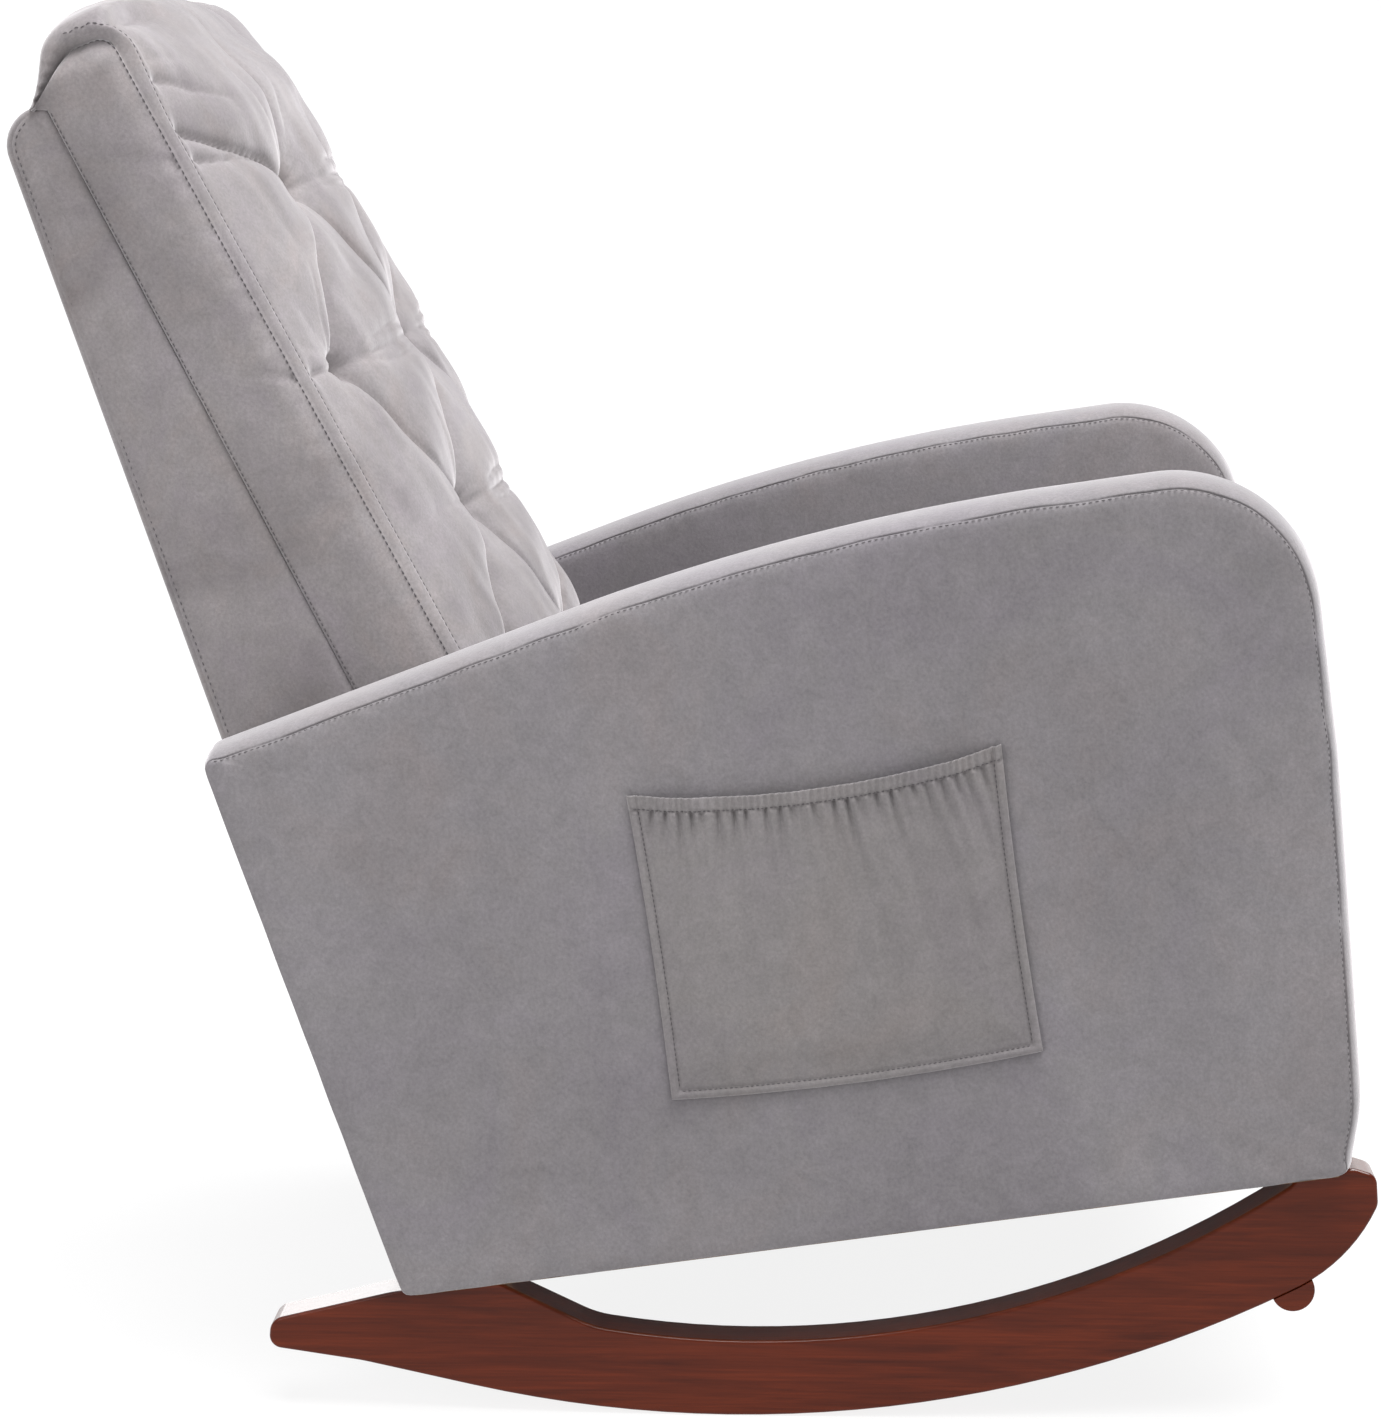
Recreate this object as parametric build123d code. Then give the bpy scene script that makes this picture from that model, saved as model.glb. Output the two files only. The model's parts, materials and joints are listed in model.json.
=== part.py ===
from build123d import *
import os
from math import asin, atan, cos, degrees, radians, sin

# Upholstered rocking chair, in millimetres.
# Each piece is drawn in the chair's own frame: X across, Y towards the rear, Z up from the flat
# underside of the upholstered body. The finished chair is then leaned back and stood on the floor.

# ---------- overall ----------
LEAN = 8.33                    # the body leans back by this much when the chair rests, degrees
WIDTH = 670.0                  # over both arms
ARM_THICKNESS = 75.0
FIT_GAP = 0.5                  # between units that are bolted together
OUTER_X = WIDTH / 2
INNER_X = OUTER_X - ARM_THICKNESS
SIDES = {"right": -1, "left": 1}

# ---------- arms ----------
ARM_HEIGHT = 496.0             # highest point of the crowned arm top
ARM_REAR_HEIGHT = 399.0
ARM_FRONT_Y = -581.0
ARM_REAR_Y = 112.5             # rear edge at the underside
ARM_REAR_SLOPE = 0.2           # rear edge, Y per Z
ARM_TOP_SLOPE = -0.225         # rear part of the arm top, Z per Y
ARM_BEND_RADIUS = 1600.0
ARM_FRONT_RADIUS = 100.0
ARM_FOOT_Y = -551.0            # front edge at the underside
ARM_KNEE = (-579.0, 290.0)     # the front edge turns very gently here
ARM_KNEE_RADIUS = 500.0
ARM_SHIN = (-565.5, 48.0)      # where the front edge starts to curve in towards the foot
ARM_SHIN_RADIUS = 120.0
ARM_FOOT_SLOPE = -0.25         # the front edge below the shin, Y per Z
ARM_CORNER_RADII = {"heel": 8.0, "rear_top": 12.0, "foot": 10.0}
ARM_PADDING = 10.0             # foam and cover over the frame
ARM_EDGE_RADIUS = 6.0
ARM_RAIL = 42.0                # depth of the sawn frame pieces
BOARD = 3.0                    # hardboard under the padding
SEAT_RAIL_LOW = 74.0           # arm's inner rail that the seat bolts to
SEAT_RAIL_HIGH = 134.0
ARM_POST_TOP = ARM_REAR_HEIGHT - ARM_PADDING - 2 * ARM_RAIL
ARM_MIDDLE_Y = (ARM_FRONT_Y + ARM_REAR_Y) / 2
FAR = (-1000.0, 1000.0)        # beyond both ends of the chair

# ---------- runners ----------
RUNNER_THICKNESS = 37.0
RUNNER_INSET = 25.0            # from the arm's outer face
RUNNER_RADIUS = 850.0
RUNNER_CENTRE = (-222.0, 722.0)
RUNNER_TAIL_Y = 75.0           # the arc runs straight on from here to the bend before the rear tip
RUNNER_TAIL_LENGTH = 80.0
RUNNER_ARC_FRONT_Y = -500.0
RUNNER_EDGE = 2.5
PAD_REAR = (122.0, 50.0)       # the flat that carries the body at the rear, Y from and to
PAD_FRONT = (-516.0, -553.0)
GAP_REAR = (-15.0, -43.0)      # start, deepest point and end of the hollow top edge
GAP_DEEPEST = (-240.0, -74.0)
GAP_FRONT = (-508.0, -7.0)
NOSE_TOP = (-568.0, -7.0)
NOSE_SIDE = (-566.5, -28.0)
NOSE_LOW = (-546.0, -54.0)
TAIL_LOW = (214.0, -27.5)      # corners of the rear tip before rounding
TAIL_TOP = (209.5, -8.5)
RUNNER_ROUNDS = {              # corner radii of the runner's side outline
    "tail_bend": 160.0, "tail": 9.0, "tail_top": 11.0, "pad_rear": 90.0, "pad_front": 12.0,
    "pad_end": 10.0, "gap_rear": 70.0, "gap_front": 12.0, "nose_top": 9.0, "nose_side": 12.0,
}
STOP_RADIUS = 15.0
STOP_CENTRE = (-501.0, -80.5)

# ---------- fasteners ----------
BOLT_RADIUS = 4.0
BOLT_HEAD_RADIUS = 6.5
BOLT_HEAD = 8.0
HEX_KEY = 6.0
HOLE_RADIUS = 4.4
WASHER_RADIUS = 9.0
WASHER = 1.6
BOLT_SHORT = 1.0               # the cross bolts end this far inside their tee nuts
TEE_RADIUS = 5.2
TEE_FLANGE_RADIUS = 11.0
TEE_FLANGE = 1.6
TEE_LENGTH = 14.0
THREAD_GAP = 0.05
RUNNER_BOLT_Y = (86.0, 61.0, -532.0)
RUNNER_BOLT_SEAT = -30.0       # the bolt heads bear here, deep in a counterbore
COUNTERBORE_RADIUS = 9.6
SIDE_BOLT_Y = (-440.0, -200.0)
SIDE_BOLT_Z = 104.0

# ---------- seat ----------
SEAT_FRONT_Y = -547.0
APRON_PADDING = 12.0
APRON_FOOT = 5.0
APRON_RADII = (11.0, 4.0)      # its top and bottom front edges
RAIL = 22.0                    # thickness of the seat's boards
SEAT_RAIL_TOP = 140.0
SEAT_RAIL_BOTTOM = 60.0
FRONT_BOARD_BOTTOM = 8.0
SEAT_REAR_Y = -80.0
SPRING_COUNT = 5
SPRING_WIRE = 3.8
SPRING_SWING = 26.0
SPRING_LOOPS = 17
SPRING_BEND = 0.42             # bend radius of the wire, as a share of the distance between its loops
CLIP_PLATE = (25.0, 11.0)      # size of a spring's clip across and along the chair
CLIP = 1.6
DECK = 3.0
CUSHION_BOTTOM = 149.5
CUSHION_TOP = 272.0
CUSHION_CROWN = 12.0
CUSHION_FRONT_Y = -564.0
CUSHION_GAP = 1.5
CUSHION_COVER = 3.0
CUSHION_REAR_GAP = 6.0         # to the back cushion's face
CUSHION_NOSE_DROP = 4.0        # the front edge is this much lower than the top
CUSHION_RADII = {"front_low": 14.0, "rear_low": 8.0, "rear_top": 12.0, "crown": 1500.0, "nose": 26.0}
DUST_COVER = 1.0

# ---------- back ----------
BACK_BOTTOM = 8.0
BACK_TOP = 848.0               # top of the wedge-shaped shell
BACK_REAR_Y = 113.0
BACK_REAR_SLOPE = 0.1905
BACK_FRONT_Y = -55.8           # the shell's front edge, where the cushion's side panel begins
BACK_FRONT_SLOPE = 0.3428
BACK_PADDING = 6.0
SIDE_BOARD = 15.0
BACK_TOP_RADIUS = 16.0
BOARD_TOP_RADIUS = 14.0        # of the boards inside it
TOP_RAIL_Z = 797.5
BACK_CUSHION_BOTTOM = 150.0
BACK_CUSHION_SIDE = 76.0       # depth of the side panel, from the shell to the stitched seam
BACK_CUSHION_CROWN = 34.0      # the tufted face stands this far in front of the seam
BACK_CUSHION_HALF = 257.0
CROWN_ROOM = 3.0               # keeps the side outline clear of the crowned face
BACK_CUSHION_TOP = 909.0
ROLL_END = 22.0                # the roll over the shell stops this far before its rear edge
ROLL_REAR = (236.0, 884.0)     # corners of the roll's side outline, Y and Z
ROLL_TOP = (205.0, BACK_CUSHION_TOP)
ROLL_BROW = (142.0, 911.0)
ROLL_START_Z = 845.0           # the tufted face turns into the roll here
ROLL_RADII = {"end": 4.0, "rear": 18.0, "top": 20.0, "brow": 34.0, "start": 70.0}
CUSHION_LOW_RADII = {"front": 20.0, "rear": 4.0}
BACK_COVER = 3.0
BUTTON_RADIUS = 11.0
BUTTON = 6.0
DIMPLE_ANGLE = 40.0
DIMPLE_DEPTH = 20.0
TUFT_SPACING = 95.0
TUFT_ROWS = ((760.0, 2), (636.0, 3), (512.0, 2), (388.0, 3))
TWINE = 2.0
BACK_BOLT_Z = (110.0, 280.0)
BACK_BOLT_SHARE = 0.55         # how far the bolts lie into the post, as a share of its depth
STRAP = 50.0
STRAP_THICKNESS = 1.5
STRAP_Z = (215.0, 330.0, 440.0, 550.0, 660.0, 770.0)
FOAM_SLAB = 60.0               # firm slab against the straps; loose fibre fills the rest of the cover
BACK_RAILS = {                 # cross rails of the back, lowest Z and whether they lie along the front
    "back_top_rail": (TOP_RAIL_Z, True),
    "back_mid_rail": (480.0, True),
    "back_seat_rail": (184.0, True),
    "back_bottom_rail": (8.0, False),
}

# ---------- pockets ----------
POCKET_REAR_Y = -96.0
POCKET_FRONT_Y = -352.0
POCKET_LOW = 118.0
POCKET_HIGH = 332.0
POCKET_BULGE = 9.0
POCKET_CLOTH = 1.6
POCKET_HEM = 9.0
ELASTIC = 9.0

pieces = {}


# ---------- helpers ----------
def outline(points, radii):
    """Closed (Y, Z) outline with rounded corners."""
    return make_face(FilletPolyline(*points, radius=radii, close=True))


def rounded_outline(corners):
    """Closed (Y, Z) outline from its corners, each with its radius."""
    return outline([point for point, radius in corners], [radius for point, radius in corners])


def slab(face, x_low, x_high):
    """A (Y, Z) outline given its thickness across the chair."""
    return extrude(Plane.YZ.offset(x_low) * face, x_high - x_low)


def band(side, near, far):
    """Lowest and highest X of a piece that spans near..far from the middle on one side."""
    return min(side * near, side * far), max(side * near, side * far)


def board(x_range, y_range, z_range):
    """A rectangular board from its extents."""
    size = [abs(high - low) for low, high in (x_range, y_range, z_range)]
    middle = [(low + high) / 2 for low, high in (x_range, y_range, z_range)]
    return Pos(*middle) * Box(*size)


def peg(radius, length, place, direction):
    """A cylinder that starts at place and runs along direction."""
    return extrude(Plane(origin=place, z_dir=direction) * Circle(radius), length)


def bolt(place, direction, length):
    """Socket-head bolt: its head bears at place and its shank runs along direction."""
    plane = Plane(origin=place, z_dir=direction)
    head = extrude(plane * Circle(BOLT_HEAD_RADIUS), -BOLT_HEAD)
    socket = extrude(plane.offset(-BOLT_HEAD) * RegularPolygon(HEX_KEY / 2, 6), BOLT_HEAD / 2)
    return head + extrude(plane * Circle(BOLT_RADIUS), length) - socket


def ring(place, direction, outer, inner, thickness):
    """A washer."""
    plane = Plane(origin=place, z_dir=direction)
    return extrude(plane * (Circle(outer) - Circle(inner)), thickness)


def tee_nut(place, direction):
    """Tee nut: its flange lies at place and its barrel runs along direction into the wood."""
    plane = Plane(origin=place, z_dir=direction)
    flange = extrude(plane * Circle(TEE_FLANGE_RADIUS), -TEE_FLANGE)
    barrel = extrude(plane * Circle(TEE_RADIUS), TEE_LENGTH)
    bore = extrude(plane.offset(-TEE_FLANGE) * Circle(BOLT_RADIUS + THREAD_GAP), TEE_FLANGE + TEE_LENGTH)
    return flange + barrel - bore


def group(solids):
    """Several separate solids of one kind, kept in one node."""
    return Compound([solid for item in solids for solid in item.solids()])


# ---------- runners ----------
def runner_outline():
    centre_y, centre_z = RUNNER_CENTRE
    front = degrees(asin((RUNNER_ARC_FRONT_Y - centre_y) / RUNNER_RADIUS))
    rear = degrees(asin((RUNNER_TAIL_Y - centre_y) / RUNNER_RADIUS))
    sole = CenterArc((centre_y, centre_z), RUNNER_RADIUS, front - 90, rear - front)
    bend = sole @ 1 + (sole % 1) * RUNNER_TAIL_LENGTH
    pad_rear = (PAD_REAR[0], 0)
    pad_end = (PAD_REAR[1], 0)
    pad_front = (PAD_FRONT[1], 0)
    hollow = ThreePointArc(GAP_REAR, GAP_DEEPEST, GAP_FRONT)
    nose = ThreePointArc(NOSE_SIDE, NOSE_LOW, sole @ 0)
    rear_top = Polyline(sole @ 1, bend, TAIL_LOW, TAIL_TOP, pad_rear, pad_end, GAP_REAR)
    front_top = Polyline(GAP_FRONT, (PAD_FRONT[0], 0), pad_front, NOSE_TOP, NOSE_SIDE)
    face = make_face([sole, rear_top, hollow, front_top, nose])
    rounded = {
        "tail_bend": (bend.X, bend.Y), "tail": TAIL_LOW, "tail_top": TAIL_TOP, "pad_rear": pad_rear,
        "pad_end": pad_end, "gap_rear": GAP_REAR, "gap_front": GAP_FRONT, "pad_front": pad_front,
        "nose_top": NOSE_TOP, "nose_side": NOSE_SIDE,
    }
    for corner_name, (y, z) in rounded.items():
        corner = face.vertices().sort_by_distance((y, z, 0))[0]
        face = fillet(corner, RUNNER_ROUNDS[corner_name])
    return face


def make_runners():
    for name, side in SIDES.items():
        x_low, x_high = band(side, OUTER_X - RUNNER_INSET - RUNNER_THICKNESS, OUTER_X - RUNNER_INSET)
        plain = slab(runner_outline(), x_low, x_high)
        long_edges = [edge for edge in plain.edges() if abs(edge.tangent_at(0).X) < 0.5]
        runner = fillet(long_edges, RUNNER_EDGE)
        foot_z = RUNNER_CENTRE[1] - RUNNER_RADIUS
        for y in RUNNER_BOLT_Y:
            foot = (runner_middle(side), y, foot_z)
            runner -= peg(HOLE_RADIUS, -foot_z, foot, (0, 0, 1))
            runner -= peg(COUNTERBORE_RADIUS, RUNNER_BOLT_SEAT - foot_z, foot, (0, 0, 1))
        pieces[f"runner_{name}"] = runner
        pieces[f"stop_block_{name}"] = slab(Pos(*STOP_CENTRE) * Circle(STOP_RADIUS), x_low, x_high) - plain


def runner_middle(side):
    return side * (OUTER_X - RUNNER_INSET - RUNNER_THICKNESS / 2)


def make_runner_fasteners():
    places = [(runner_middle(side), y) for side in SIDES.values() for y in RUNNER_BOLT_Y]
    length = ARM_RAIL - RUNNER_BOLT_SEAT + WASHER
    head = RUNNER_BOLT_SEAT - WASHER
    pieces["runner_bolts"] = group(bolt((x, y, head), (0, 0, 1), length) for x, y in places)
    pieces["runner_washers"] = group(
        ring((x, y, head), (0, 0, 1), WASHER_RADIUS, HOLE_RADIUS, WASHER) for x, y in places)
    pieces["runner_tee_nuts"] = group(tee_nut((x, y, ARM_RAIL), (0, 0, -1)) for x, y in places)


# ---------- arms ----------
def arm_rear(z):
    return ARM_REAR_Y + ARM_REAR_SLOPE * z


def arm_outline(bottom):
    """The arm's side outline down to a given height."""
    rear_top = (arm_rear(ARM_REAR_HEIGHT), ARM_REAR_HEIGHT)
    bend_y = rear_top[0] + (ARM_HEIGHT - ARM_REAR_HEIGHT) / ARM_TOP_SLOPE
    return rounded_outline((
        ((arm_rear(bottom), bottom), ARM_CORNER_RADII["heel"]),
        (rear_top, ARM_CORNER_RADII["rear_top"]),
        ((bend_y, ARM_HEIGHT), ARM_BEND_RADIUS),
        ((ARM_FRONT_Y, ARM_HEIGHT), ARM_FRONT_RADIUS),
        (ARM_KNEE, ARM_KNEE_RADIUS),
        (ARM_SHIN, ARM_SHIN_RADIUS),
        ((ARM_FOOT_Y + ARM_FOOT_SLOPE * bottom, bottom), ARM_CORNER_RADII["foot"]),
    ))


def arm_core():
    """The outline of everything under the padding: open at the underside."""
    return offset(arm_outline(-ARM_PADDING), -ARM_PADDING, kind=Kind.INTERSECTION)


def arm_pad(side):
    """The foam and cover over the arm's frame."""
    skin = slab(arm_outline(0), *band(side, INNER_X, OUTER_X))
    rims = [edge for edge in skin.edges() if abs(edge.tangent_at(0.5).X) < 0.5 and edge.center().Z > 1]
    skin = fillet(rims, ARM_EDGE_RADIUS)
    pad = skin - slab(arm_core(), *band(side, INNER_X + ARM_PADDING, OUTER_X - ARM_PADDING))
    for y in SIDE_BOLT_Y:
        pad -= peg(HOLE_RADIUS, ARM_PADDING, (side * INNER_X, y, SIDE_BOLT_Z), (side, 0, 0))
    return pad


def arm_bottom_rail(side, ring_frame, across):
    """The lowest part of the sawn frame, drilled for the runner bolts and their tee nuts."""
    rail = ring_frame & board(across, FAR, (-ARM_HEIGHT, ARM_RAIL))
    for y in RUNNER_BOLT_Y:
        rail -= peg(HOLE_RADIUS, ARM_RAIL, (runner_middle(side), y, 0), (0, 0, 1))
        rail -= peg(TEE_RADIUS, TEE_LENGTH, (runner_middle(side), y, ARM_RAIL), (0, 0, -1))
    return rail


def arm_post(side, ring_frame, across, y_range):
    """An upright of the sawn frame, notched over the tee nuts."""
    post = ring_frame & board(across, y_range, (ARM_RAIL, ARM_POST_TOP))
    for y in RUNNER_BOLT_Y:
        post -= peg(TEE_FLANGE_RADIUS + 1, TEE_LENGTH, (runner_middle(side), y, ARM_RAIL), (0, 0, 1))
    return post


def arm_seat_rail(side, hollow, across):
    """The rail inside the arm that the seat bolts to, with its tee nuts let in flush."""
    rail = slab(hollow, *across) & board(across, FAR, (SEAT_RAIL_LOW, SEAT_RAIL_HIGH))
    outer_x = side * (OUTER_X - ARM_PADDING - BOARD)
    for y in SIDE_BOLT_Y:
        rail -= peg(HOLE_RADIUS, ARM_THICKNESS, (side * INNER_X, y, SIDE_BOLT_Z), (side, 0, 0))
        rail -= peg(TEE_RADIUS, TEE_LENGTH + TEE_FLANGE, (outer_x, y, SIDE_BOLT_Z), (-side, 0, 0))
        rail -= peg(TEE_FLANGE_RADIUS + 1, TEE_FLANGE, (outer_x, y, SIDE_BOLT_Z), (-side, 0, 0))
    return rail


def make_arm(name, side):
    core = arm_core()
    pieces[f"arm_pad_{name}"] = arm_pad(side)
    inner = slab(core, *band(side, INNER_X + ARM_PADDING, INNER_X + ARM_PADDING + BOARD))
    for y in SIDE_BOLT_Y:
        inner -= peg(HOLE_RADIUS, ARM_THICKNESS, (side * INNER_X, y, SIDE_BOLT_Z), (side, 0, 0))
    pieces[f"arm_inner_board_{name}"] = inner
    outer = band(side, OUTER_X - ARM_PADDING - BOARD, OUTER_X - ARM_PADDING)
    pieces[f"arm_outer_board_{name}"] = slab(core, *outer)

    across = band(side, INNER_X + ARM_PADDING + BOARD, OUTER_X - ARM_PADDING - BOARD)
    hollow = offset(core, -ARM_RAIL, kind=Kind.INTERSECTION)
    ring_frame = slab(core, *across) - slab(hollow, *across)
    pieces[f"arm_bottom_rail_{name}"] = arm_bottom_rail(side, ring_frame, across)
    pieces[f"arm_front_post_{name}"] = arm_post(side, ring_frame, across, (FAR[0], ARM_MIDDLE_Y))
    pieces[f"arm_rear_post_{name}"] = arm_post(side, ring_frame, across, (ARM_MIDDLE_Y, FAR[1]))
    pieces[f"arm_top_rail_{name}"] = ring_frame & board(across, FAR, (ARM_POST_TOP, 2 * ARM_HEIGHT))
    pieces[f"arm_seat_rail_{name}"] = arm_seat_rail(side, hollow, across)


def pocket_section(bulge, inset):
    """Plan of the pocket's cloth: flat at its hems and standing off the arm between them."""
    rear = POCKET_REAR_Y - inset
    front = POCKET_FRONT_Y + inset
    return [(0, rear), (POCKET_CLOTH, rear), (bulge, rear - POCKET_HEM), (bulge, front + POCKET_HEM),
            (POCKET_CLOTH, front), (0, front)]


def pocket_column(side, section, low, high):
    """A plan section, measured outwards from the arm's face, given its height."""
    plan = make_face(Polyline(*[(side * (OUTER_X + x), y) for x, y in section], close=True))
    return extrude(Pos(0, 0, low) * plan, high - low)


def make_pocket(name, side):
    """A patch pocket: hemmed on three sides, open at its elastic top."""
    z_top = POCKET_HIGH - ELASTIC
    pouch = pocket_column(side, pocket_section(POCKET_BULGE, 0), POCKET_LOW, z_top)
    foot = make_face(Polyline(
        (side * (OUTER_X + POCKET_CLOTH), POCKET_LOW), (side * (OUTER_X + 2 * POCKET_BULGE), POCKET_LOW),
        (side * (OUTER_X + 2 * POCKET_BULGE), POCKET_LOW + 2 * POCKET_HEM), close=True))
    pouch -= extrude(Plane.XZ.offset(-POCKET_REAR_Y) * foot, POCKET_REAR_Y - POCKET_FRONT_Y)
    inner_bulge = POCKET_BULGE - POCKET_CLOTH
    inside = pocket_section(inner_bulge, POCKET_HEM)
    pieces[f"pocket_{name}"] = pouch - pocket_column(side, inside, POCKET_LOW + 2 * POCKET_HEM, z_top)
    tunnel = pocket_column(side, pocket_section(POCKET_BULGE, 0), z_top, POCKET_HIGH)
    pieces[f"pocket_elastic_{name}"] = tunnel - pocket_column(side, inside, z_top, POCKET_HIGH)


# ---------- seat ----------
def make_seat_frame():
    half = INNER_X - FIT_GAP
    front = SEAT_FRONT_Y + APRON_PADDING
    z_range = (SEAT_RAIL_BOTTOM, SEAT_RAIL_TOP)
    pieces["seat_front_rail"] = board(
        (-half, half), (front, front + RAIL), (FRONT_BOARD_BOTTOM, SEAT_RAIL_TOP))
    pieces["seat_rear_rail"] = board((-half, half), (SEAT_REAR_Y - RAIL, SEAT_REAR_Y), z_range)
    blocks = []
    for name, side in SIDES.items():
        x_range = band(side, half - RAIL, half)
        rail = board(x_range, (front + RAIL, SEAT_REAR_Y - RAIL), z_range)
        for y in SIDE_BOLT_Y:
            rail -= peg(HOLE_RADIUS, RAIL, (side * (half - RAIL), y, SIDE_BOLT_Z), (side, 0, 0))
        pieces[f"seat_side_rail_{name}"] = rail
        corner_x = side * (half - RAIL)
        leg = -side * 2 * RAIL
        for y, step in ((front + RAIL, 2 * RAIL), (SEAT_REAR_Y - RAIL, -2 * RAIL)):
            corners = (corner_x, y), (corner_x + leg, y), (corner_x, y + step)
            triangle = Pos(0, 0, SEAT_RAIL_BOTTOM) * make_face(Polyline(*corners, close=True))
            blocks.append(extrude(triangle, SEAT_RAIL_TOP - SEAT_RAIL_BOTTOM - RAIL))
    pieces["seat_corner_blocks"] = group(blocks)


def make_side_bolts():
    head_x = INNER_X - FIT_GAP - RAIL
    length = ARM_THICKNESS - ARM_PADDING - BOARD + FIT_GAP + RAIL - BOLT_SHORT
    places = [(side, y) for side in SIDES.values() for y in SIDE_BOLT_Y]
    pieces["seat_bolts"] = group(
        bolt((side * (head_x - WASHER), y, SIDE_BOLT_Z), (side, 0, 0), length) for side, y in places)
    pieces["seat_washers"] = group(
        ring((side * head_x, y, SIDE_BOLT_Z), (-side, 0, 0), WASHER_RADIUS, HOLE_RADIUS, WASHER)
        for side, y in places)
    flange_x = OUTER_X - ARM_PADDING - BOARD - TEE_FLANGE
    pieces["seat_tee_nuts"] = group(
        tee_nut((side * flange_x, y, SIDE_BOLT_Z), (-side, 0, 0)) for side, y in places)


def make_springs():
    """Sinuous springs from the front rail to the rear rail, each held by a clip at both ends."""
    front = SEAT_FRONT_Y + APRON_PADDING + RAIL / 2
    rear = SEAT_REAR_Y - RAIL / 2
    pitch = (rear - front) / (SPRING_LOOPS - 1)
    wire_z = SEAT_RAIL_TOP + CLIP + SPRING_WIRE / 2
    spacing = 2 * (INNER_X - RAIL) / (SPRING_COUNT + 1)
    springs = []
    clips = []
    for index in range(SPRING_COUNT):
        x = (index - (SPRING_COUNT - 1) / 2) * spacing
        turns = []
        for loop in range(SPRING_LOOPS):
            swing = SPRING_SWING * (-1) ** loop
            y = front + loop * pitch
            turns += [(x - swing, y, wire_z), (x + swing, y, wire_z)]
        path = FilletPolyline(*turns, radius=pitch * SPRING_BEND)
        section = Plane(origin=path @ 0, z_dir=path % 0) * Circle(SPRING_WIRE / 2)
        springs.append(sweep(section, path=path))
        for y in (front, rear):
            plate = Pos(x, y, SEAT_RAIL_TOP + CLIP / 2) * Box(*CLIP_PLATE, CLIP)
            clips.append(plate)
    pieces["seat_springs"] = group(springs)
    pieces["spring_clips"] = group(clips)


def make_deck():
    half = INNER_X - FIT_GAP
    low = SEAT_RAIL_TOP + CLIP + SPRING_WIRE + FIT_GAP
    pieces["seat_deck"] = board((-half, half), (SEAT_FRONT_Y + APRON_PADDING, SEAT_REAR_Y), (low, low + DECK))
    edge = SEAT_FRONT_Y + APRON_PADDING
    section = rounded_outline((
        ((edge, APRON_FOOT), 0), ((edge, low + DECK), 0),
        ((SEAT_FRONT_Y, low + DECK), APRON_RADII[0]), ((SEAT_FRONT_Y, APRON_FOOT), APRON_RADII[1]),
    ))
    pieces["front_apron"] = slab(section, -half, half)


def back_face(z):
    """Y of the back cushion's tufted face at a height."""
    return cushion_rear(z) - (BACK_CUSHION_SIDE + BACK_CUSHION_CROWN) / cos(atan(BACK_FRONT_SLOPE))


def seat_cushion_solid(inset):
    rear_low = back_face(CUSHION_BOTTOM) - CUSHION_REAR_GAP
    rear_high = back_face(CUSHION_TOP) - CUSHION_REAR_GAP
    middle = (CUSHION_FRONT_Y + rear_high) / 2
    profile = rounded_outline((
        ((CUSHION_FRONT_Y, CUSHION_BOTTOM), CUSHION_RADII["front_low"]),
        ((rear_low, CUSHION_BOTTOM), CUSHION_RADII["rear_low"]),
        ((rear_high, CUSHION_TOP), CUSHION_RADII["rear_top"]),
        ((middle, CUSHION_TOP + CUSHION_CROWN), CUSHION_RADII["crown"]),
        ((CUSHION_FRONT_Y, CUSHION_TOP - CUSHION_NOSE_DROP), CUSHION_RADII["nose"]),
    ))
    if inset:
        profile = offset(profile, -inset, kind=Kind.INTERSECTION)
    half = INNER_X - CUSHION_GAP - inset
    return slab(profile, -half, half)


def make_seat_cushion():
    pieces["seat_cushion_cover"] = seat_cushion_solid(0) - seat_cushion_solid(CUSHION_COVER)
    pieces["seat_cushion_foam"] = seat_cushion_solid(CUSHION_COVER)


# ---------- back ----------
def back_rear(z):
    return BACK_REAR_Y + BACK_REAR_SLOPE * z


def cushion_rear(z):
    return BACK_FRONT_Y + BACK_FRONT_SLOPE * z


def wedge(rear_inset, front_inset, low, high, radius):
    """The back's wedge-shaped side outline, thinner towards the top."""
    return rounded_outline((
        ((cushion_rear(low) + front_inset, low), 0), ((back_rear(low) - rear_inset, low), 0),
        ((back_rear(high) - rear_inset, high), radius), ((cushion_rear(high) + front_inset, high), 0),
    ))


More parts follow.
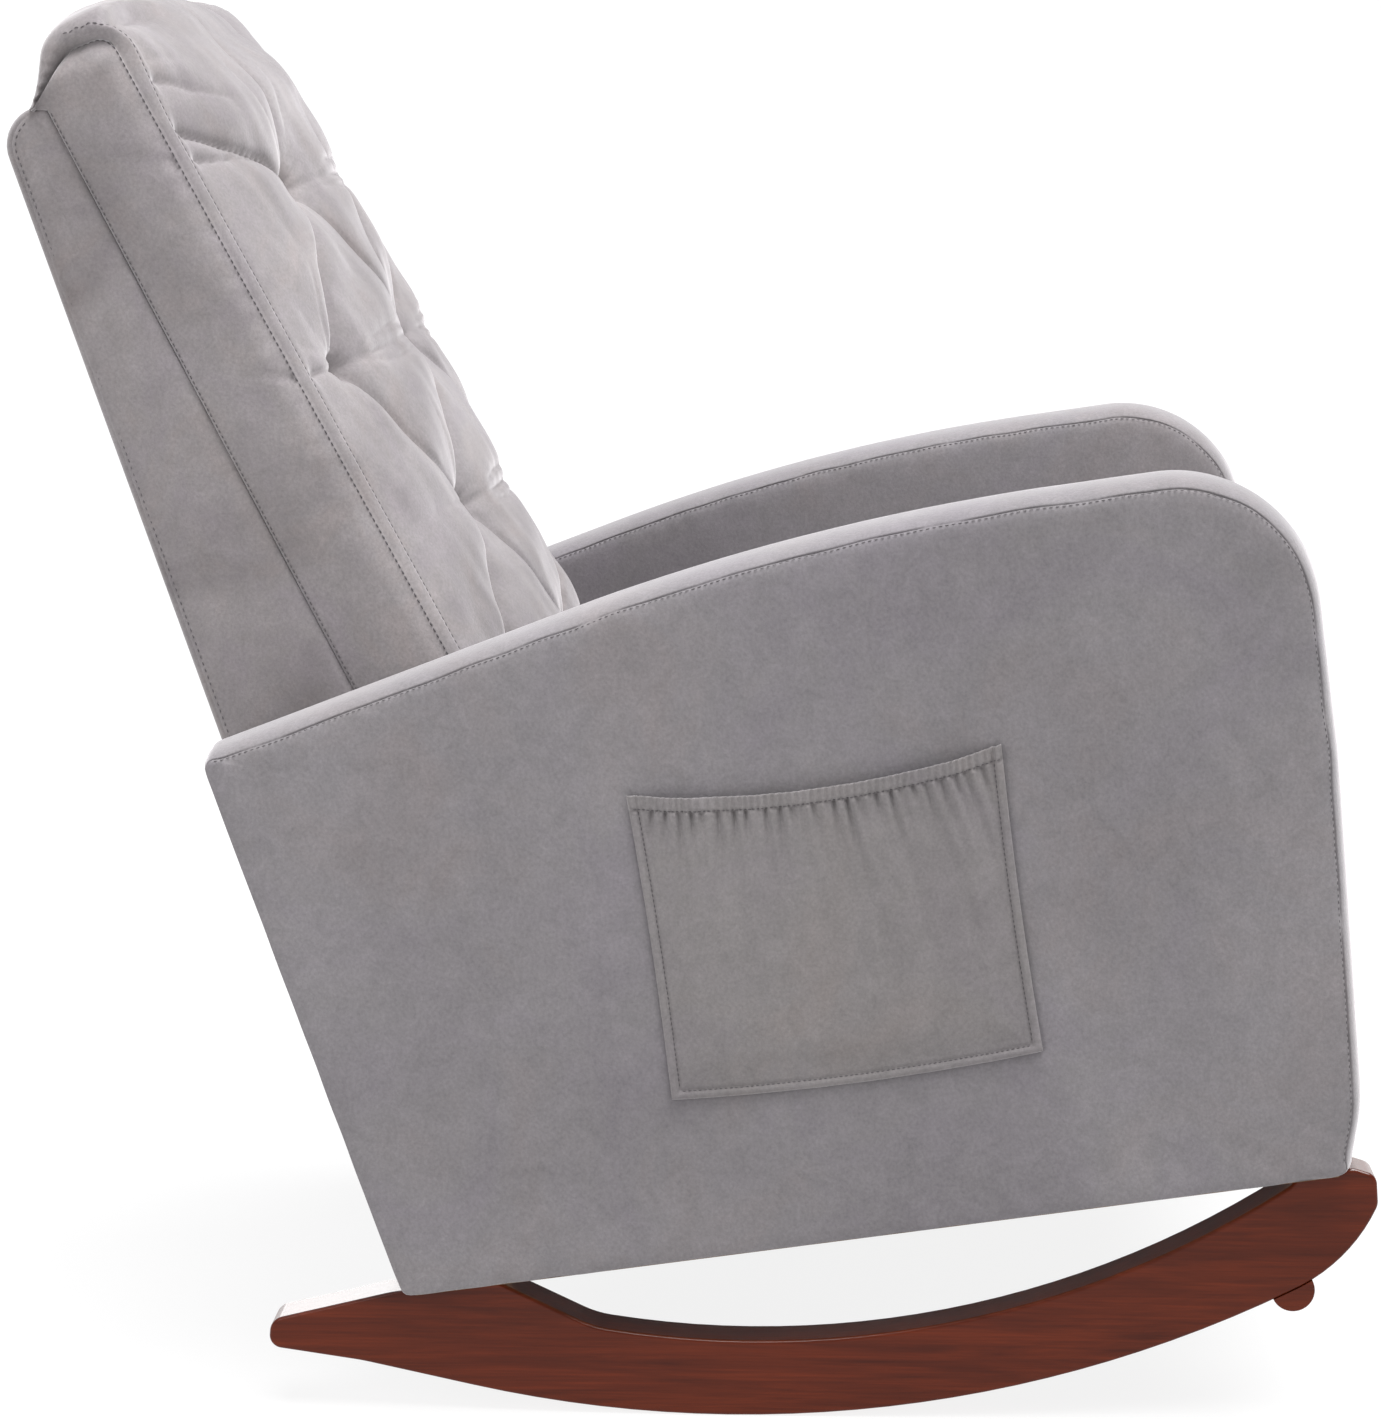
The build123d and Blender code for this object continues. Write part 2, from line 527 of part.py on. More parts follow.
def make_back_frame():
    half = INNER_X - FIT_GAP
    inner = half - BACK_PADDING
    shell = slab(wedge(0, 0, BACK_BOTTOM, BACK_TOP, BACK_TOP_RADIUS), -half, half)
    top = BACK_TOP - BACK_PADDING
    hollow = wedge(BACK_PADDING, -BACK_PADDING, BACK_BOTTOM - BACK_PADDING, top, BOARD_TOP_RADIUS)
    pieces["back_shell"] = shell - slab(hollow, -inner, inner)

    board_top = top - 2 * BOARD_TOP_RADIUS
    rear_board = wedge(BACK_PADDING, 0, BACK_BOTTOM, board_top, 0) - wedge(
        BACK_PADDING + BOARD, -BACK_PADDING, 0, BACK_TOP, 0)
    pieces["back_rear_board"] = slab(rear_board, -inner, inner)
    front_inset = STRAP_THICKNESS + 2 * FIT_GAP
    side_face = wedge(BACK_PADDING + BOARD, front_inset, BACK_BOTTOM, top - FIT_GAP, BOARD_TOP_RADIUS)
    for name, side in SIDES.items():
        panel = slab(side_face, *band(side, inner - SIDE_BOARD, inner))
        for z in BACK_BOLT_Z:
            start = (side * (inner - SIDE_BOARD), back_bolt_y(z), z)
            hole = peg(HOLE_RADIUS, SIDE_BOARD + BACK_PADDING, start, (side, 0, 0))
            panel -= hole
            pieces["back_shell"] -= hole
        pieces[f"back_side_board_{name}"] = panel
    between = inner - SIDE_BOARD
    for node, (low, along_front) in BACK_RAILS.items():
        high = low + 2 * RAIL
        front = cushion_rear(low) if along_front else back_rear(low) - BACK_PADDING - BOARD - RAIL
        rear = cushion_rear(high) + RAIL if along_front else back_rear(high)
        blank = board((-between, between), (front, rear), (low, high))
        pieces[node] = blank & slab(side_face, -between, between)


def back_bolt_y(z):
    """The bolts of the back pass near the middle of the arm's rear post."""
    return arm_rear(z) - ARM_PADDING - ARM_RAIL * BACK_BOLT_SHARE


def make_back_fasteners():
    head_x = INNER_X - FIT_GAP - BACK_PADDING - SIDE_BOARD
    length = OUTER_X - ARM_PADDING - BOARD - head_x + WASHER - BOLT_SHORT
    places = [(side, back_bolt_y(z), z) for side in SIDES.values() for z in BACK_BOLT_Z]
    pieces["back_bolts"] = group(
        bolt((side * (head_x - WASHER), y, z), (side, 0, 0), length) for side, y, z in places)
    pieces["back_washers"] = group(
        ring((side * head_x, y, z), (-side, 0, 0), WASHER_RADIUS, HOLE_RADIUS, WASHER)
        for side, y, z in places)
    flange_x = OUTER_X - ARM_PADDING - BOARD - TEE_FLANGE
    pieces["back_tee_nuts"] = group(tee_nut((side * flange_x, y, z), (-side, 0, 0)) for side, y, z in places)
    for name, side in SIDES.items():
        outer_x = side * (flange_x + TEE_FLANGE)
        for z in BACK_BOLT_Z:
            y = back_bolt_y(z)
            reach = peg(HOLE_RADIUS, ARM_THICKNESS - ARM_PADDING, (side * INNER_X, y, z), (side, 0, 0))
            barrel = peg(TEE_RADIUS, TEE_LENGTH + TEE_FLANGE, (outer_x, y, z), (-side, 0, 0))
            flange = peg(TEE_FLANGE_RADIUS + FIT_GAP, TEE_FLANGE, (outer_x, y, z), (-side, 0, 0))
            pieces[f"arm_rear_post_{name}"] -= reach + barrel + flange
            pieces[f"arm_inner_board_{name}"] -= reach
            pieces[f"arm_pad_{name}"] -= reach


def make_webbing():
    """Elastic straps across the front of the back frame."""
    lean = degrees(atan(BACK_FRONT_SLOPE))
    half = INNER_X - FIT_GAP - BACK_PADDING
    straps = []
    for z in STRAP_Z:
        plane = Plane(origin=(0, cushion_rear(z) + FIT_GAP, z)).rotated((-lean, 0, 0))
        straps.append(plane * Pos(0, STRAP_THICKNESS / 2, 0) * Box(2 * half, STRAP_THICKNESS, STRAP))
    pieces["back_webbing"] = group(straps)


def cushion_profile(inset):
    """Side outline of the back cushion, with the roll that wraps over the top of the shell."""
    low = BACK_CUSHION_BOTTOM
    profile = rounded_outline((
        ((back_face(low) - CROWN_ROOM, low), CUSHION_LOW_RADII["front"]),
        ((cushion_rear(low), low), CUSHION_LOW_RADII["rear"]),
        ((cushion_rear(BACK_TOP), BACK_TOP), 0),
        ((back_rear(BACK_TOP) - ROLL_END, BACK_TOP), ROLL_RADII["end"]),
        (ROLL_REAR, ROLL_RADII["rear"]),
        (ROLL_TOP, ROLL_RADII["top"]),
        (ROLL_BROW, ROLL_RADII["brow"]),
        ((back_face(ROLL_START_Z) - CROWN_ROOM, ROLL_START_Z), ROLL_RADII["start"]),
    ))
    return offset(profile, -inset, kind=Kind.INTERSECTION) if inset else profile


def cushion_plan(inset):
    """Section across the back cushion, crowned in front, as it is seen along the lean."""
    half = BACK_CUSHION_HALF - inset
    front = BACK_CUSHION_SIDE - inset
    crown = ThreePointArc((half, -front), (0, -front - BACK_CUSHION_CROWN), (-half, -front))
    rear = 2 * BACK_CUSHION_SIDE
    box = Polyline((-half, -front), (-half, rear), (half, rear), (half, -front))
    return make_face([crown, box])


def back_cushion_solid(inset):
    lean = degrees(atan(BACK_FRONT_SLOPE))
    start = Plane(origin=(0, cushion_rear(0), 0)).rotated((-lean, 0, 0))
    column = extrude(start * cushion_plan(inset), 2 * BACK_CUSHION_TOP)
    return slab(cushion_profile(inset), -INNER_X, INNER_X) & column


def tuft_places():
    """The X and Z of each button."""
    for z, count in TUFT_ROWS:
        for index in range(count):
            yield (2 * index - count + 1) * TUFT_SPACING, z


def tuft_reach(x):
    """Depth of the back cushion across the chair."""
    return BACK_CUSHION_SIDE + BACK_CUSHION_CROWN * (1 - (x / BACK_CUSHION_HALF) ** 2)


def tuft_cone(face, depth):
    """The hollow that a button pulls into the cushion, from the tufted face inwards."""
    seat = face.offset(-depth)
    return extrude(seat * Circle(BUTTON_RADIUS + 1), 2 * depth, taper=-DIMPLE_ANGLE)


def tuft_plane(x, z):
    """A plane on the tufted face, facing out of it."""
    lean = atan(BACK_FRONT_SLOPE)
    reach = tuft_reach(x)
    foot_z = z - reach * sin(lean)
    origin = (x, cushion_rear(foot_z) - reach * cos(lean), foot_z + reach * sin(lean))
    return Plane(origin=origin, z_dir=(0, -cos(lean), sin(lean)))


def make_back_cushion():
    cover = back_cushion_solid(0)
    filling = back_cushion_solid(BACK_COVER)
    buttons = []
    ties = []
    for x, z in tuft_places():
        face = tuft_plane(x, z)
        seat = face.offset(-DIMPLE_DEPTH)
        hole = extrude(seat * Circle(TWINE), -BACK_CUSHION_SIDE - BACK_CUSHION_CROWN)
        cover -= tuft_cone(face, DIMPLE_DEPTH) + hole
        filling -= tuft_cone(face, DIMPLE_DEPTH + BACK_COVER) + hole
        button = extrude(seat * Circle(BUTTON_RADIUS), BUTTON)
        circles = button.edges().filter_by(GeomType.CIRCLE)
        rim = circles.sort_by_distance(seat.offset(BUTTON).origin)[0]
        buttons.append(fillet(rim, BUTTON / 2))
        ties.append(extrude(seat * Circle(TWINE / 2), DIMPLE_DEPTH - tuft_reach(x)))
    slab_depth = FOAM_SLAB / cos(atan(BACK_FRONT_SLOPE))
    low = BACK_CUSHION_BOTTOM
    high = BACK_TOP
    firm = make_face(Polyline(
        (cushion_rear(low), low), (cushion_rear(high), high), (cushion_rear(high) - slab_depth, high),
        (cushion_rear(low) - slab_depth, low), close=True))
    pieces["back_cushion_cover"] = cover - filling
    pieces["back_cushion_foam"] = filling & slab(firm, -INNER_X, INNER_X)
    pieces["back_buttons"] = group(buttons)
    pieces["button_ties"] = group(ties)


def make_dust_cover():
    half = INNER_X - FIT_GAP
    pieces["dust_cover"] = board(
        (-half, half), (SEAT_FRONT_Y + APRON_PADDING, back_rear(BACK_BOTTOM) - BACK_PADDING),
        (BACK_BOTTOM - DUST_COVER, BACK_BOTTOM))


def stand_on_floor():
    """Lean the chair back, then put the origin on the floor under the middle of the whole."""
    leaned = {node: Rot(-LEAN, 0, 0) * piece for node, piece in pieces.items()}
    boxes = [piece.bounding_box() for piece in leaned.values()]
    front = min(box.min.Y for box in boxes)
    rear = max(box.max.Y for box in boxes)
    floor = min(box.min.Z for box in boxes)
    print("seat origin in the finished frame:", -(front + rear) / 2, -floor)
    return {node: Pos(0, -(front + rear) / 2, -floor) * piece for node, piece in leaned.items()}


make_runners()
make_runner_fasteners()
for arm_name, arm_side in SIDES.items():
    make_arm(arm_name, arm_side)
    make_pocket(arm_name, arm_side)
make_seat_frame()
make_side_bolts()
make_springs()
make_deck()
make_seat_cushion()
make_back_frame()
make_back_fasteners()
make_webbing()
make_back_cushion()
make_dust_cover()

os.makedirs("parts", exist_ok=True)
for node, piece in stand_on_floor().items():
    export_step(piece, f"parts/{node}.step")
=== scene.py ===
import json
import math

import bpy
import numpy as np
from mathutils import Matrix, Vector


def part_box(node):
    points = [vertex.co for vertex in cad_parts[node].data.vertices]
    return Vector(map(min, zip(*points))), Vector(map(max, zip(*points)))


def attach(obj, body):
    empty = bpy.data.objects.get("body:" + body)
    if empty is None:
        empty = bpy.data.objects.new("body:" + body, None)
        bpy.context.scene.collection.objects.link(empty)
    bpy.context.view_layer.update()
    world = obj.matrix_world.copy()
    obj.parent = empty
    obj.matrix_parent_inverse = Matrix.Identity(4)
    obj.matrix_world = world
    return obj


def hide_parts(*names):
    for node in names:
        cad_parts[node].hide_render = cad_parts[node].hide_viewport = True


# The looks of an upholstered rocking chair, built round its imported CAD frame.
# Soft pieces are drawn in the chair's own frame, in millimetres: X across, Y towards the rear,
# Z up from the flat underside of the body. place() leans them back with the chair, in metres.

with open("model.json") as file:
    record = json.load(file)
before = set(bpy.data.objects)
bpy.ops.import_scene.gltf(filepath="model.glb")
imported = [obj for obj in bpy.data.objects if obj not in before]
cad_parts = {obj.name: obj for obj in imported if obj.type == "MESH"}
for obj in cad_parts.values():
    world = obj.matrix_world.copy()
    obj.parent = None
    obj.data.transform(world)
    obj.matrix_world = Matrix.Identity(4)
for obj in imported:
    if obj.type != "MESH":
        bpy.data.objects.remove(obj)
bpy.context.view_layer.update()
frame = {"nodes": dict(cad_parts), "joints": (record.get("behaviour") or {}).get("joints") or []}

# ---------- the chair's own frame ----------
MM = 0.001
DECK_MIDDLE = (0.0, -307.5, 147.4)  # middle of the seat deck in the chair's own frame
lift_axis = frame["joints"][0]["axis"]
lean = math.atan2(lift_axis[1], lift_axis[2])
ACROSS = np.array((1.0, 0.0, 0.0))
REARWARD = np.array((0.0, math.cos(lean), -math.sin(lean)))
UPWARD = np.array((0.0, math.sin(lean), math.cos(lean)))
TURN = np.stack((ACROSS, REARWARD, UPWARD))
deck_low, deck_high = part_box("seat_deck")
ORIGIN = np.array((deck_low + deck_high) / 2) - np.array(DECK_MIDDLE) @ TURN * MM

# ---------- sizes, as in the CAD model ----------
OUTER_X = 335.0
INNER_X = 260.0
FIT_GAP = 0.5
ARM_HEIGHT = 496.0
ARM_REAR_HEIGHT = 399.0
ARM_REAR_Y = 112.5
ARM_REAR_SLOPE = 0.2
ARM_TOP_SLOPE = -0.225
ARM_FRONT_Y = -580.0
ARM_FOOT_Y = -551.0
ARM_SHIN = (-565.5, 48.0)
BACK_REAR_Y = 113.0
BACK_REAR_SLOPE = 0.1905
BACK_FRONT_Y = -55.8
BACK_FRONT_SLOPE = 0.3428
BACK_TOP = 848.0
BACK_BOTTOM = 8.0
CUSHION_SIDE_X = 257.0
SEAT_FRONT_Y = -547.0
POCKET_REAR_Y = -96.0
POCKET_FRONT_Y = -352.0
POCKET_LOW = 118.0
POCKET_HIGH = 332.0
TUFT_SPACING = 95.0
TUFT_ROWS = ((760.0, 2), (636.0, 3), (512.0, 2), (388.0, 3))


def place(points):
    """Points in the chair's own frame, in millimetres, as points in the row frame, in metres."""
    return np.asarray(points, float) @ TURN * MM + ORIGIN


# ---------- small maths ----------
def smooth(value, low, high):
    """0 below low, 1 above high, and a smooth ramp between."""
    t = np.clip((np.asarray(value, float) - low) / (high - low), 0, 1)
    return t * t * (3 - 2 * t)


RIPPLE_WAVES = 9


def ripple(coordinates, wavelength, seed):
    """Smooth seeded waviness, about -1 to 1, over points of one or more coordinates."""
    coordinates = np.asarray(coordinates, float)
    if coordinates.ndim == 1:
        coordinates = coordinates[:, None]
    random = np.random.default_rng(seed)
    total = np.zeros(len(coordinates))
    for _ in range(RIPPLE_WAVES):
        direction = random.normal(size=coordinates.shape[1])
        direction /= np.linalg.norm(direction) * wavelength * random.uniform(0.6, 1.7)
        total += np.sin(2 * math.pi * (coordinates @ direction) + random.uniform(0, 2 * math.pi))
    return total / math.sqrt(RIPPLE_WAVES / 2) / 1.6


def rounded_path(corners, closed):
    """Corners, each (y, z, radius), and a point every millimetre round each of their arcs."""
    count = len(corners)
    points = []
    for index, (y, z, radius) in enumerate(corners):
        corner = np.array((y, z), float)
        if not closed and index in (0, count - 1):
            points.append(corner)
            continue
        before = unit(np.array(corners[index - 1][:2]) - corner)
        after = unit(np.array(corners[(index + 1) % count][:2]) - corner)
        half = math.acos(np.clip(before @ after, -1, 1)) / 2
        middle = corner + unit(before + after) * radius / math.sin(half)
        start = corner + before * radius / math.tan(half) - middle
        turn = (math.pi - 2 * half) * np.sign(before[1] * after[0] - before[0] * after[1])
        turns = np.linspace(0, turn, max(2, int(abs(turn) * radius)) + 1)[:, None]
        quarter_on = np.array((-start[1], start[0]))
        points += [*(middle + np.cos(turns) * start + np.sin(turns) * quarter_on)]
    if closed:
        points.append(points[0])
    return np.array(points)


def lengths(points):
    """The length of a path up to each of its points."""
    steps = np.linalg.norm(np.diff(points, axis=0), axis=1)
    return np.concatenate(([0], np.cumsum(steps)))


def resample(points, spacing, closed):
    """Evenly spaced points along a path, with its length up to each of them."""
    along = lengths(points)
    count = int(round(along[-1] / spacing))
    wanted = np.linspace(0, along[-1], count + 1)
    if closed:
        wanted = wanted[:-1]
    return interpolated(wanted, along, points), wanted


def interpolated(wanted, along, points):
    """The points at the wanted lengths of a path; along is its length up to each of its points."""
    columns = [np.interp(wanted, along, points[:, axis]) for axis in range(points.shape[1])]
    return np.stack(columns, axis=-1)


def closed_outline(corners, spacing):
    """Evenly spaced points round a closed outline, their outward normals and the length up to each."""
    dense = rounded_path(corners, True)
    area = np.sum(dense[:-1, 0] * dense[1:, 1] - dense[1:, 0] * dense[:-1, 1])
    if area > 0:
        dense = dense[::-1]
    outline, along = resample(dense, spacing, True)
    return outline, side_normals(outline, True), along


def unit(vectors):
    """Vectors at length 1, along the last axis."""
    return vectors / np.maximum(np.linalg.norm(vectors, axis=-1, keepdims=True), 1e-9)


def side_normals(points, closed):
    """Unit normals of a path in (Y, Z), to the left of its direction."""
    if closed:
        tangent = np.roll(points, -1, axis=0) - np.roll(points, 1, axis=0)
    else:
        tangent = np.gradient(points, axis=0)
    return unit(np.stack((-tangent[:, 1], tangent[:, 0]), axis=1))


def widthwise(half, near_edge, margin, count):
    """X of the sections of a piece from side to side, closer together near its two ends."""
    near_edge = np.array(near_edge, float)
    inner = np.linspace(-half + margin, half - margin, count)
    return np.concatenate((-half + near_edge, inner, (half - near_edge)[::-1]))


def merged(depth, other):
    """The larger of two depths, with a smooth change from one to the other."""
    return (depth ** 3 + other ** 3) ** (1 / 3)


def blurred(values, reach):
    """Values round a closed loop, averaged over their neighbours."""
    kernel = np.hanning(2 * reach + 3)
    kernel /= kernel.sum()
    padded = np.concatenate((values[-reach - 1:], values, values[:reach + 1]))
    return np.convolve(padded, kernel, mode="valid")


# ---------- mesh making ----------
def add_object(name, data):
    made = bpy.data.objects.new(name, data)
    bpy.context.scene.collection.objects.link(made)
    return made


def at_x(x, line):
    """A line of (Y, Z) as points at one X or at an X for each of them."""
    return np.column_stack((np.broadcast_to(x, len(line)), line))


def grid_faces(rows, columns, closed=False):
    """Quads over a grid of vertices stored row by row; closed joins the last column to the first."""
    r, c = np.meshgrid(range(rows - 1), range(columns if closed else columns - 1), indexing="ij")
    start = r * columns
    corners = (start + c, start + (c + 1) % columns)
    corners += (corners[1] + columns, corners[0] + columns)
    return np.stack(corners, axis=-1).reshape(-1, 4)


def mesh_piece(name, points, faces, material, body="chair", flip=False):
    """A smooth-shaded mesh from chair-frame points, riding on a CAD body."""
    mesh = bpy.data.meshes.new(name)
    faces = [tuple(int(v) for v in (face if flip else face[::-1])) for face in faces]
    mesh.from_pydata([tuple(p) for p in place(points)], [], faces)
    mesh.validate()
    mesh.update()
    piece = add_object(name, mesh)
    mesh.materials.append(material)
    mesh.polygons.foreach_set("use_smooth", np.ones(len(mesh.polygons), bool))
    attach(piece, body)
    return piece


def tube(rings):
    """Points and faces of rings of points joined side by side, closed by a cap at each end.

    A cap is a strip of quads across the end ring, so a long thin ring closes cleanly."""
    rows, count = rings.shape[:2]
    faces = list(grid_faces(rows, count, closed=True))
    half = count // 2
    cap = [(step, step + 1, count - 2 - step, count - 1 - step) for step in range(half - 1)]
    if count % 2:
        cap.append((half - 1, half, half + 1))
    faces += [face[::-1] for face in cap]
    faces += [[corner + (rows - 1) * count for corner in face] for face in cap]
    return rings.reshape(-1, 3), faces


# ---------- materials ----------
def give(made, **values):
    """Sets a node's inputs, each to a value or to another node's output; an underscore is a space."""
    for key, value in values.items():
        socket = made.inputs[key.replace("_", " ")]
        if isinstance(value, bpy.types.NodeSocket):
            made.id_data.links.new(value, socket)
        else:
            socket.default_value = value


def node(tree, kind, properties=(), **inputs):
    """A new node with its properties, each (name, value), and its inputs."""
    made = tree.nodes.new(kind)
    for key, value in properties:
        setattr(made, key, value)
    give(made, **inputs)
    return made


def new_material(name):
    """A new material, its node tree and its shader."""
    material = bpy.data.materials.new(name)
    material.use_nodes = True
    return material, material.node_tree, material.node_tree.nodes["Principled BSDF"]


def mapped(tree, scale=(1, 1, 1)):
    """Object coordinates, scaled."""
    coordinates = tree.nodes.new("ShaderNodeTexCoord").outputs["Object"]
    return node(tree, "ShaderNodeMapping", Vector=coordinates, Scale=scale).outputs["Vector"]


def noise(tree, vector, scale, detail, roughness, distortion=0.0):
    """A noise texture over the given coordinates."""
    texture = node(
        tree, "ShaderNodeTexNoise", Vector=vector, Scale=scale, Detail=detail, Roughness=roughness,
        Distortion=distortion)
    return texture.outputs["Fac"]


def remapped(tree, value, taken, given):
    """A value brought from the taken range to the given one, each (low, high)."""
    remap = node(
        tree, "ShaderNodeMapRange", Value=value, From_Min=taken[0], From_Max=taken[1],
        To_Min=given[0], To_Max=given[1])
    return remap.outputs["Result"]


def product(tree, first, second):
    """Two values multiplied."""
    result = node(tree, "ShaderNodeMath", (("operation", "MULTIPLY"),))
    tree.links.new(first, result.inputs[0])
    tree.links.new(second, result.inputs[1])
    return result.outputs[0]


def tinted(tree, colour, *layers):
    """A colour multiplied by each of the layers."""
    for layer in layers:
        properties = (("data_type", "RGBA"), ("blend_type", "MULTIPLY"))
        mix = node(tree, "ShaderNodeMix", properties, Factor=1.0, A=colour, B=layer)
        colour = mix.outputs["Result"]
    return colour


def ramp_between(tree, factor, *stops):
    """A colour ramp over a factor, with (place, colour) stops."""
    ramp = node(tree, "ShaderNodeValToRGB", Fac=factor)
    elements = ramp.color_ramp.elements
    while len(elements) < len(stops):
        elements.new(0.5)
    for element, (position, colour) in zip(elements, stops):
        element.position = position
        element.color = (*colour, 1)
    return ramp.outputs["Color"]


def bumps(tree, shader, *layers):
    """Stacks height textures as bump layers, each (height, distance in metres, strength)."""
    under = {}
    for height, distance, strength in layers:
        bump = node(tree, "ShaderNodeBump", Height=height, Distance=distance, Strength=strength, **under)
        under = {"Normal": bump.outputs["Normal"]}
    give(shader, **under)


def grey(value):
    return (value, value, value)


SHEEN_TINT = (1.0, 0.97, 0.99, 1.0)
LACQUERED_UPWARD = (0.5, 0.9)  # upward share of the normal where the lacquer begins and is full


def velvet(name, dark, light, sheen, brushed=3.5):
    """Short-pile velvet: brushed patches, crushed pile, faint changes of tint and a soft sheen."""
    material, tree, shader = new_material(name)
    vector = mapped(tree)
    patches = noise(tree, vector, brushed, 5.0, 0.55, 0.5)
    pile = noise(tree, vector, 420.0, 3.0, 0.7)
    crush = noise(tree, vector, 55.0, 4.0, 0.65, 0.8)
    shades = noise(tree, vector, brushed * 2.2, 4.0, 0.6, 1.0)
    broad = ramp_between(tree, patches, (0.30, dark), (0.72, light))
    fine = ramp_between(tree, crush, (0.25, grey(0.90)), (0.75, (1.10, 1.09, 1.10)))
    grain = ramp_between(tree, pile, (0.25, grey(0.84)), (0.75, grey(1.14)))
    tint = ramp_between(
        tree, shades, (0.30, (0.97, 0.955, 0.99)), (0.5, grey(1.0)), (0.70, (1.03, 1.0, 0.98)))
    give(
        shader, Base_Color=tinted(tree, broad, fine, grain, tint), Roughness=0.92,
        Specular_IOR_Level=0.12, Sheen_Weight=sheen, Sheen_Roughness=0.42, Sheen_Tint=SHEEN_TINT)
    bumps(tree, shader, (pile, 0.0006, 0.35), (crush, 0.0012, 0.18))
    return material


def stained_wood(name, dark, light, roughness, specular, lacquered):
    """Stained wood with its grain along the chair, glossier on top where the lacquer settled."""
    material, tree, shader = new_material(name)
    figure = noise(tree, mapped(tree, (14, 1.6, 22)), 3.0, 7.0, 0.6, 1.4)
    fibres = noise(tree, mapped(tree, (160, 6, 260)), 2.0, 4.0, 0.7, 0.3)
    knots = node(
        tree, "ShaderNodeTexVoronoi", Vector=mapped(tree, (6, 4, 14)), Scale=1.3, Randomness=1.0)
    base = ramp_between(tree, figure, (0.28, dark), (0.74, light))
    lines = ramp_between(tree, fibres, (0.3, (0.72, 0.68, 0.66)), (0.7, grey(1.1)))
    spots = ramp_between(tree, knots.outputs["Distance"], (0.0, (0.25, 0.2, 0.18)), (0.07, grey(1)))
    give(
        shader, Base_Color=tinted(tree, base, lines, spots), Specular_IOR_Level=specular,
        Roughness=remapped(tree, figure, (0, 1), (roughness * 0.8, roughness * 1.25)))
    if lacquered:
        normal = tree.nodes.new("ShaderNodeNewGeometry").outputs["Normal"]
        upward = node(tree, "ShaderNodeSeparateXYZ", Vector=normal).outputs["Z"]
        lacquer = remapped(tree, upward, LACQUERED_UPWARD, (0, 1))
        give(shader, Coat_Weight=lacquer, Coat_IOR=1.7, Coat_Roughness=0.12)
    bumps(tree, shader, (fibres, 0.0004, 0.25))
    return material


def speckled(name, dark, light, scale, roughness, metallic=0.0, depth=0.0003):
    """Plain stuff with a fine grain: foam, board, steel, twine and thread."""
    material, tree, shader = new_material(name)
    grain = noise(tree, mapped(tree), scale, 4.0, 0.65)
    colour = ramp_between(tree, grain, (0.3, dark), (0.7, light))
    give(shader, Base_Color=colour, Roughness=roughness, Metallic=metallic)
    bumps(tree, shader, (grain, depth, 0.4))
    return material


def woven(name, dark, light, threads):
    """Webbing or non-woven cloth with a visible weave."""
    material, tree, shader = new_material(name)
    vector = mapped(tree)
    weave = product(tree, *(
        node(
            tree, "ShaderNodeTexWave", (("bands_direction", direction),), Vector=vector,
            Scale=threads, Distortion=0.4).outputs["Fac"]
        for direction in ("X", "Z")))
    give(shader, Base_Color=ramp_between(tree, weave, (0.0, dark), (1.0, light)), Roughness=0.85)
    bumps(tree, shader, (weave, 0.0004, 0.5))
    return material


VELVET = velvet("grey_velvet", (0.168, 0.158, 0.164), (0.212, 0.201, 0.208), sheen=0.95)
# Painted light: the back, its cushion and buttons get the arms' velvet made lighter, with less sheen, to
# give the brighter look that the light and the nap give the back.
BACK_VELVET = velvet(
    "grey_velvet_back", (0.166, 0.152, 0.154), (0.256, 0.239, 0.241), sheen=0.74, brushed=8.0)
POCKET_VELVET = velvet(
    "grey_velvet_pocket", (0.172, 0.161, 0.161), (0.211, 0.199, 0.198), sheen=0.55)
THREAD = speckled("grey_thread", (0.07, 0.064, 0.068), (0.11, 0.10, 0.105), 900.0, 0.8)
RUNNER_WOOD = stained_wood(
    "reddish_stained_wood", (0.062, 0.0085, 0.0018), (0.138, 0.0205, 0.0045),
    roughness=0.30, specular=0.22, lacquered=True)
FRAME_WOOD = stained_wood(
    "sawn_frame_wood", (0.36, 0.24, 0.13), (0.58, 0.43, 0.26),
    roughness=0.75, specular=0.4, lacquered=False)
HARDBOARD = speckled("hardboard", (0.13, 0.075, 0.038), (0.20, 0.12, 0.065), 260.0, 0.7)
ZINC = speckled("zinc_plated_steel", (0.50, 0.50, 0.52), (0.68, 0.68, 0.70), 300.0, 0.35, metallic=1.0)
FOAM = speckled(
    "upholstery_foam", (0.68, 0.63, 0.45), (0.80, 0.75, 0.57), 420.0, 0.95, depth=0.0008)
WEBBING = woven("elastic_webbing", (0.012, 0.012, 0.014), (0.05, 0.05, 0.055), 260.0)
DECK_CLOTH = woven("seat_deck_cloth", (0.08, 0.08, 0.08), (0.16, 0.16, 0.16), 220.0)
TWINE = speckled("waxed_twine", (0.36, 0.34, 0.30), (0.52, 0.50, 0.45), 1200.0, 0.7)
DUST_CLOTH = woven("black_dust_cloth", (0.004, 0.004, 0.005), (0.014, 0.014, 0.016), 330.0)


# ---------- boxed forms: two side panels with a strip between them ----------
PANEL_DEPTHS = (0.0, 0.7, 1.6, 3.0, 5.0, 8.0, 12.0, 17.0, 24.0, 33.0, 45.0)
PANEL_SHARES = (0.07, 0.16, 0.26, 0.37, 0.48, 0.59, 0.70, 0.80, 0.88, 0.94, 0.98)
INNER_DEPTH = 200.0  # nominal depth of a panel's middle beyond the listed depths
NEAR_SEAM = (0.9, 2.0, 3.5, 5.5, 8.0, 11.0)
LEAST_CLEARANCE = 6.0
DROP_REACH = 4.0
GROOVE_REACH = 0.9


